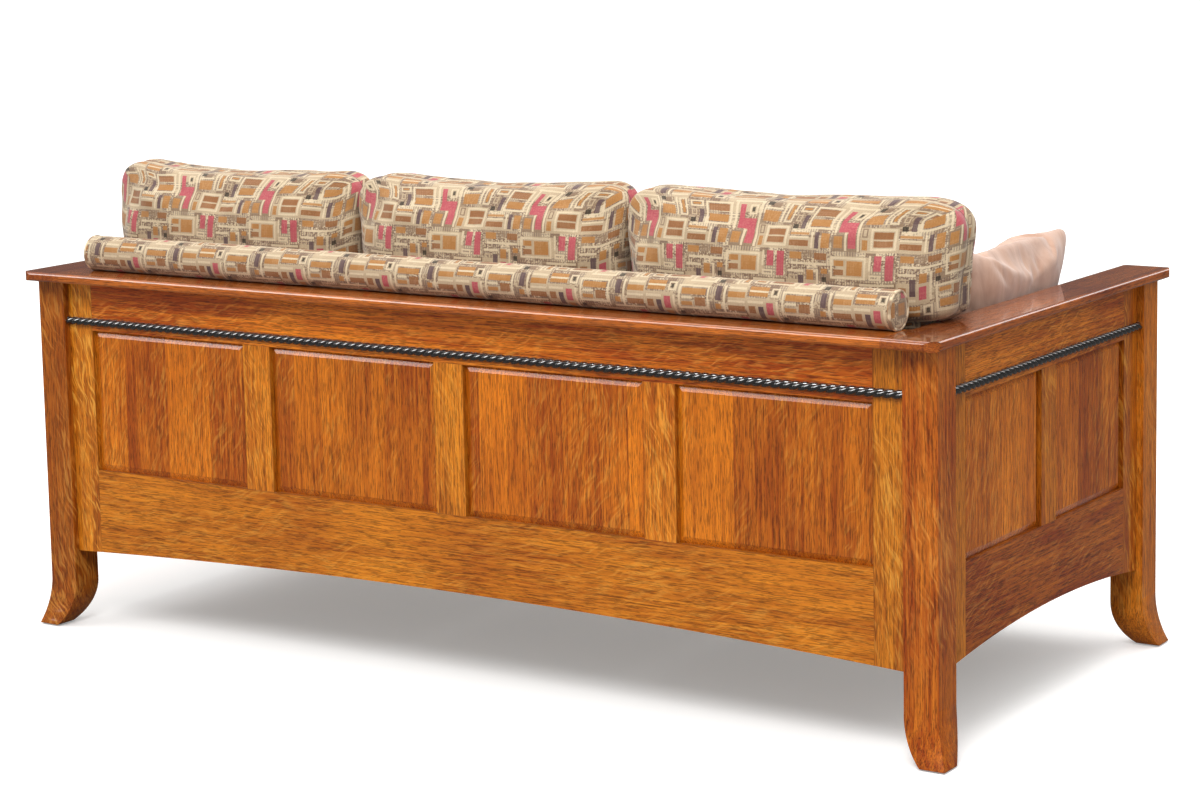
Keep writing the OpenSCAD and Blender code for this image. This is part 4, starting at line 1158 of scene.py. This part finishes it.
class SOFA_OT_stuff_backs(bpy.types.Operator):
    """Sews and fills the three loose back cushions"""

    bl_idname = "sofa.stuff_backs"
    bl_label = "Back cushions"

    def execute(self, context):
        cushions = context.scene.sofa_cushions
        arm_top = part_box("right_arm_cap")[1].z
        lean, crown, edge = cushions.back_lean, cushions.back_crown, cushions.edge_power
        for number, node in enumerate(BACK_CUSHIONS):
            right = node == "back_cushion_right"
            low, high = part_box("back_cushion_left" if right else node)
            if right:
                low.x, high.x = -high.x, -low.x
            tall = high.z - low.z
            size = (high.x - low.x, high.y - low.y - tall * math.sin(lean) - 2 * crown, tall)
            piece, grid = sew(node, low, high, size, (crown, crown), (edge, edge, cushions.corner_power),
                              -lean, (*BACK_LUMPS, number * 5.1))
            dress_ears(piece.data, low, high, number * 1.7)
            if right:
                lap_over(piece.data, low, high, arm_top)
            lay_cloth(piece.data, grid, True, 0.03 * number, 0.05)
            subdivide(piece)
            finish_soft(piece, node)
        return {"FINISHED"}


class SOFA_OT_stuff_seats(bpy.types.Operator):
    """Sews and fills the three loose seat cushions"""

    bl_idname = "sofa.stuff_seats"
    bl_label = "Seat cushions"

    def execute(self, context):
        cushions = context.scene.sofa_cushions
        under, crown = cushions.seat_under, cushions.seat_crown
        powers = (cushions.under_power, cushions.edge_power, cushions.seat_corner)
        for number, node in enumerate(SEAT_CUSHIONS):
            low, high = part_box(node)
            size = (high.x - low.x, high.z - low.z - crown - under, high.y - low.y)
            piece, grid = sew(node, low, high, size, (under, crown), powers, math.pi / 2,
                              (*SEAT_LUMPS, 20 + number * 3.3), boxed=True)
            lay_cloth(piece.data, grid, False, 0.06 * number, 0.0)
            subdivide(piece)
            finish_soft(piece, node)
        return {"FINISHED"}


class SOFA_OT_stuff_pillow(bpy.types.Operator):
    """Sews and fills the suede throw pillow"""

    bl_idname = "sofa.stuff_pillow"
    bl_label = "Throw pillow"

    def execute(self, context):
        cushions = context.scene.sofa_cushions
        node = "throw_pillow"
        low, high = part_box(node)
        size = (cushions.pillow_long, cushions.pillow_thick, cushions.pillow_tall)
        mesh = stuffed_mesh(node, size, (0.0, 0.0), cushions.pillow_pull, PILLOW_STEP, PILLOW_POWERS)[0]
        piece = new_piece(node + "_cover", mesh, suede_cloth())
        mesh.transform(Matrix.Diagonal((1.0, PILLOW_START, 1.0, 1.0)))
        fill(piece, cushions.swell_limit)
        gather_seam(mesh, size, cushions.gather, cushions.pillow_ear, cushions.pillow_rise)
        knead(mesh, *PILLOW_LUMPS, 41.0)
        mesh.transform(Matrix.Rotation(-cushions.pillow_lean, 4, "Y") @ Matrix.Rotation(math.pi / 2, 4, "Z"))
        fit_to(mesh, low - Vector((0.0, cushions.pillow_reach, 0.0)), high)
        subdivide(piece)
        finish_soft(piece, node)
        return {"FINISHED"}


def roll_mesh(name, radius, run, centre, floor):
    """The stuffed roll with flat sewn ends, resting on the board."""
    rings = round(run / ROLL_STEP)
    stations = [(-run / 2, part) for part in ROLL_RINGS]
    stations += [(-run / 2 + ROLL_END + (run - 2 * ROLL_END) * i / rings, 1.0) for i in range(rings + 1)]
    stations += [(run / 2, part) for part in reversed(ROLL_RINGS)]
    work = bmesh.new()
    cloth = work.loops.layers.uv.new("cloth")
    loops = []
    for x, part in stations:
        ring = []
        for i in range(ROLL_SIDES if part else 1):
            turn = 2 * math.pi * i / ROLL_SIDES
            point = centre + Vector((x, radius * part * math.sin(turn), radius * part * math.cos(turn)))
            point.z = max(point.z, floor)
            ring.append(work.verts.new(point))
        loops.append(ring)
    for n, (one, two) in enumerate(zip(loops, loops[1:])):
        flat = stations[n][1] < 1 or stations[n + 1][1] < 1
        for i in range(ROLL_SIDES):
            j = (i + 1) % ROLL_SIDES
            corners = [(one[i % len(one)], i), (one[j % len(one)], i + 1),
                       (two[j % len(two)], i + 1), (two[i % len(two)], i)]
            if len(one) == 1:
                corners.pop(0)
            elif len(two) == 1:
                corners.pop(2)
            face = work.faces.new([corner[0] for corner in corners])
            for loop, (vertex, turn) in zip(face.loops, corners):
                if flat:
                    loop[cloth].uv = (vertex.co.y * 0.7, vertex.co.z)
                else:
                    loop[cloth].uv = (vertex.co.x, turn / ROLL_SIDES * 2 * math.pi * radius)
    bmesh.ops.recalc_face_normals(work, faces=work.faces)
    mesh = bpy.data.meshes.new(name)
    work.to_mesh(mesh)
    work.free()
    return mesh


def build_welt():
    """A sewn welt: a cord in cloth round a circle in the YZ plane."""
    tree, b, given, made = new_group("welt_ring", "Geometry", [
        ("Geometry", "Geometry"), ("Radius", "Float", 0.03), ("Cord Radius", "Float", 0.003),
        ("Spacing", "Float", 1.0), ("Material", "Material")], [("Geometry", "Geometry")])
    ring, profile = (b.form("CurvePrimitiveCircle", {"Resolution": sides, "Radius": given[radius]})
                     for sides, radius in ((72, "Radius"), (12, "Cord Radius")))
    tube = b.form("CurveToMesh", {"Curve": ring, "Profile Curve": profile})
    half = b.times(given["Spacing"], 0.5)
    finish_form(b, [b.form("Transform", {
        "Geometry": tube, "Translation": b.join(b.times(half, sign), 0.0, 0.0),
        "Rotation": (0.0, math.pi / 2, 0.0)}) for sign in (-1.0, 1.0)], given["Material"], made)
    return tree


class SOFA_OT_stuff_roll(bpy.types.Operator):
    """Sews the long roll on the back board, with a welt round each end"""

    bl_idname = "sofa.stuff_roll"
    bl_label = "Back roll"

    def execute(self, context):
        welt_width = context.scene.sofa_cushions.welt
        fabric = patterned_fabric("woven_roll_cloth", 0.0)
        low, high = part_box("back_roll")
        radius = (high.y - low.y) / 2
        centre = Vector(((low.x + high.x) / 2, (low.y + high.y) / 2, high.z - radius))
        run = high.x - low.x
        mesh = roll_mesh("back_roll", radius - ROLL_CLEAR, run - ROLL_CLEAR, centre, low.z)
        piece = new_piece("back_roll_cover", mesh, fabric)
        fill(piece, ROLL_SWELL)
        knead(mesh, *ROLL_LUMPS, 77.0)
        fit_to(mesh, low, high)
        mesh.shade_smooth()
        for item in mesh.uv_layers["cloth"].data:
            item.uv = (item.uv[0] + 0.02, item.uv[1] + 0.07)
        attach(piece, "frame")
        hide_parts("back_roll")
        welt = grow("back_roll_welts", build_welt(), {
            "Radius": radius - welt_width / 2, "Cord Radius": welt_width / 2,
            "Spacing": run - welt_width, "Material": welt_cloth()}, Matrix.Translation(centre))
        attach(welt, "frame")
        return {"FINISHED"}


# Each lamp: the setting of its power, its place and its width; and the point that all of them face
LAMPS = (("key", (-1.9, 4.3, 5.0), 2.6), ("side", (-4.2, -0.8, 3.8), 2.0),
         ("fill", (4.2, 3.0, 4.2), 3.0), ("top", (0.0, -1.0, 4.2), 3.6))
LAMP_AIM = Vector((0, 0, 0.45))
# Bright patches in glossy surfaces: a direction, and the cosines at which each begins and is full
KEY_GLEAM = ((0.57, 0.68, 0.46), 0.955, 0.98)
WINDOW_GLEAM = ((-0.15, -0.84, 0.52), 0.965, 0.985)


class SOFA_OT_set_stage(bpy.types.Operator):
    """Lays the pale floor, hangs the lamps and sets up the camera"""

    bl_idname = "sofa.set_stage"
    bl_label = "Stage"

    def execute(self, context):
        stage = context.scene.sofa_stage
        self.lay_floor(stage)
        self.light_sky(context, stage)
        for name, place, size in LAMPS:
            self.hang_lamp(name + "_lamp", place, size, getattr(stage, name))
        self.set_camera(context, stage)
        context.scene.view_settings.view_transform = "Standard"
        return {"FINISHED"}

    def lay_floor(self, stage):
        """A wide pale floor."""
        bpy.ops.mesh.primitive_plane_add(size=60.0, location=(0, 0, 0))
        floor = bpy.context.active_object
        floor.name = "floor"
        material, bench, shader = principled("pale_floor", roughness=0.9, specular_ior_level=0.1,
                                             emission_strength=1.0)
        pale = tuple(stage.floor)
        white = bench.mix(bench.noise(object_place(bench), 0.8, 2.0), pale, tint("fbfaf9"))
        path = bench.node("ShaderNodeLightPath").outputs
        shade, thrown = (tuple(part * kept for part in pale) for kept in (stage.mirrored, stage.bounce))
        white = bench.mix(path["Is Diffuse Ray"], white, thrown)
        coat(bench, shader, bench.mix(path["Is Glossy Ray"], white, shade))
        away = bench.vector("LENGTH", object_place(bench), out=1)
        glow = bench.spread(away, 1.2, 4.0, stage.glow_near, stage.glow_far, smooth=True)
        bench.feed(shader.inputs["Emission Color"], bench.mix(
            bench.times(glow, path["Is Camera Ray"]), (0.0, 0.0, 0.0), (1.0, 1.0, 1.0)))
        floor.data.materials.append(material)

    def light_sky(self, context, stage):
        """Even light from all round; the camera sees it white, and mirrors see its gleams."""
        world = bpy.data.worlds.new("studio")
        world.use_nodes = True
        bench = Bench(world.node_tree)
        background = world.node_tree.nodes["Background"]
        path = bench.node("ShaderNodeLightPath").outputs
        toward = bench.node("ShaderNodeTexCoord").outputs["Generated"]
        height = bench.split(toward)[2]
        even = bench.spread(height, -0.1, 0.9, stage.sky * stage.horizon, stage.sky, smooth=True)
        gleam = bench.spread(height, 0.28, 0.66, 0.0, stage.overhead, smooth=True)
        for (aim, outer, inner), strength in ((KEY_GLEAM, 1.0), (WINDOW_GLEAM, stage.window)):
            near = bench.vector("DOT_PRODUCT", toward, aim, out=1)
            patch = bench.spread(near, outer, inner, 0.0, strength, smooth=True)
            gleam = bench.maths("MAXIMUM", gleam, patch)
        mirror = bench.spread(gleam, 0.0, 1.0, stage.mirrored, stage.ceiling)
        level = bench.node("ShaderNodeMix", {0: path["Is Glossy Ray"], 2: even, 3: mirror}).outputs[0]
        bench.feed(background.inputs["Strength"], bench.maths("MAXIMUM", level, path["Is Camera Ray"]))
        background.inputs["Color"].default_value = (1, 1, 1, 1)
        context.scene.world = world

    def hang_lamp(self, name, place, size, watts):
        """A square soft lamp that faces the sofa's middle."""
        lamp = bpy.data.lights.new(name, "AREA")
        lamp.shape = "SQUARE"
        lamp.size = size
        lamp.energy = watts
        hung = bpy.data.objects.new(name, lamp)
        hung.location = place
        hung.rotation_euler = (LAMP_AIM - Vector(place)).to_track_quat("-Z", "Y").to_euler()
        bpy.context.scene.collection.objects.link(hung)

    def set_camera(self, context, stage):
        """The camera at the photograph's viewing angle."""
        lens = bpy.data.cameras.new("camera")
        lens.sensor_width = 36.0
        lens.lens = stage.lens
        lens.shift_y = stage.shift
        camera = bpy.data.objects.new("camera", lens)
        a, e, r = stage.azimuth, stage.rise, stage.roll
        back = Vector((math.sin(a) * math.cos(e), -math.cos(a) * math.cos(e), math.sin(e)))
        right = Vector((0, 0, 1)).cross(back).normalized()
        up = back.cross(right)
        right, up = right * math.cos(r) + up * math.sin(r), up * math.cos(r) - right * math.sin(r)
        camera.matrix_world = Matrix((*zip(right, up, back, stage.place), (0, 0, 0, 1)))
        context.scene.collection.objects.link(camera)
        context.scene.camera = camera


OPERATORS = (SOFA_OT_dress_frame, SOFA_OT_dress_caps, SOFA_OT_dress_inside, SOFA_OT_lay_ropes,
             SOFA_OT_stuff_roll, SOFA_OT_stuff_seats, SOFA_OT_stuff_backs, SOFA_OT_stuff_pillow,
             SOFA_OT_set_stage)


class SOFA_PT_tools(bpy.types.Panel):
    """Lists the sofa's operators and settings."""

    bl_idname = "SOFA_PT_tools"
    bl_label = "Oak Panel Sofa"
    bl_space_type = "VIEW_3D"
    bl_region_type = "UI"
    bl_category = "Sofa"

    def draw(self, context):
        for operator in OPERATORS:
            self.layout.operator(operator.bl_idname)
        for name, group in SETTINGS.items():
            box = self.layout.box()
            box.label(text=group.__doc__)
            for label in group.__annotations__:
                box.prop(getattr(context.scene, name), label)


CLASSES = (*SETTINGS.values(), *OPERATORS, SOFA_PT_tools)


def register():
    """Registers the classes and puts the settings on the scene."""
    for item in CLASSES:
        bpy.utils.register_class(item)
    for name, group in SETTINGS.items():
        setattr(bpy.types.Scene, name, PointerProperty(type=group))


def unregister():
    """Takes the settings and the classes away again."""
    for name in SETTINGS:
        delattr(bpy.types.Scene, name)
    for item in reversed(CLASSES):
        bpy.utils.unregister_class(item)


def main():
    """Dresses the sofa."""
    register()
    bpy.ops.sofa.set_stage()
    bpy.ops.sofa.dress_frame()
    bpy.ops.sofa.dress_caps()
    bpy.ops.sofa.dress_inside()
    bpy.ops.sofa.lay_ropes()
    bpy.ops.sofa.stuff_roll()
    bpy.ops.sofa.stuff_seats()
    bpy.ops.sofa.stuff_backs()
    bpy.ops.sofa.stuff_pillow()


if __name__ == "__main__":
    main()
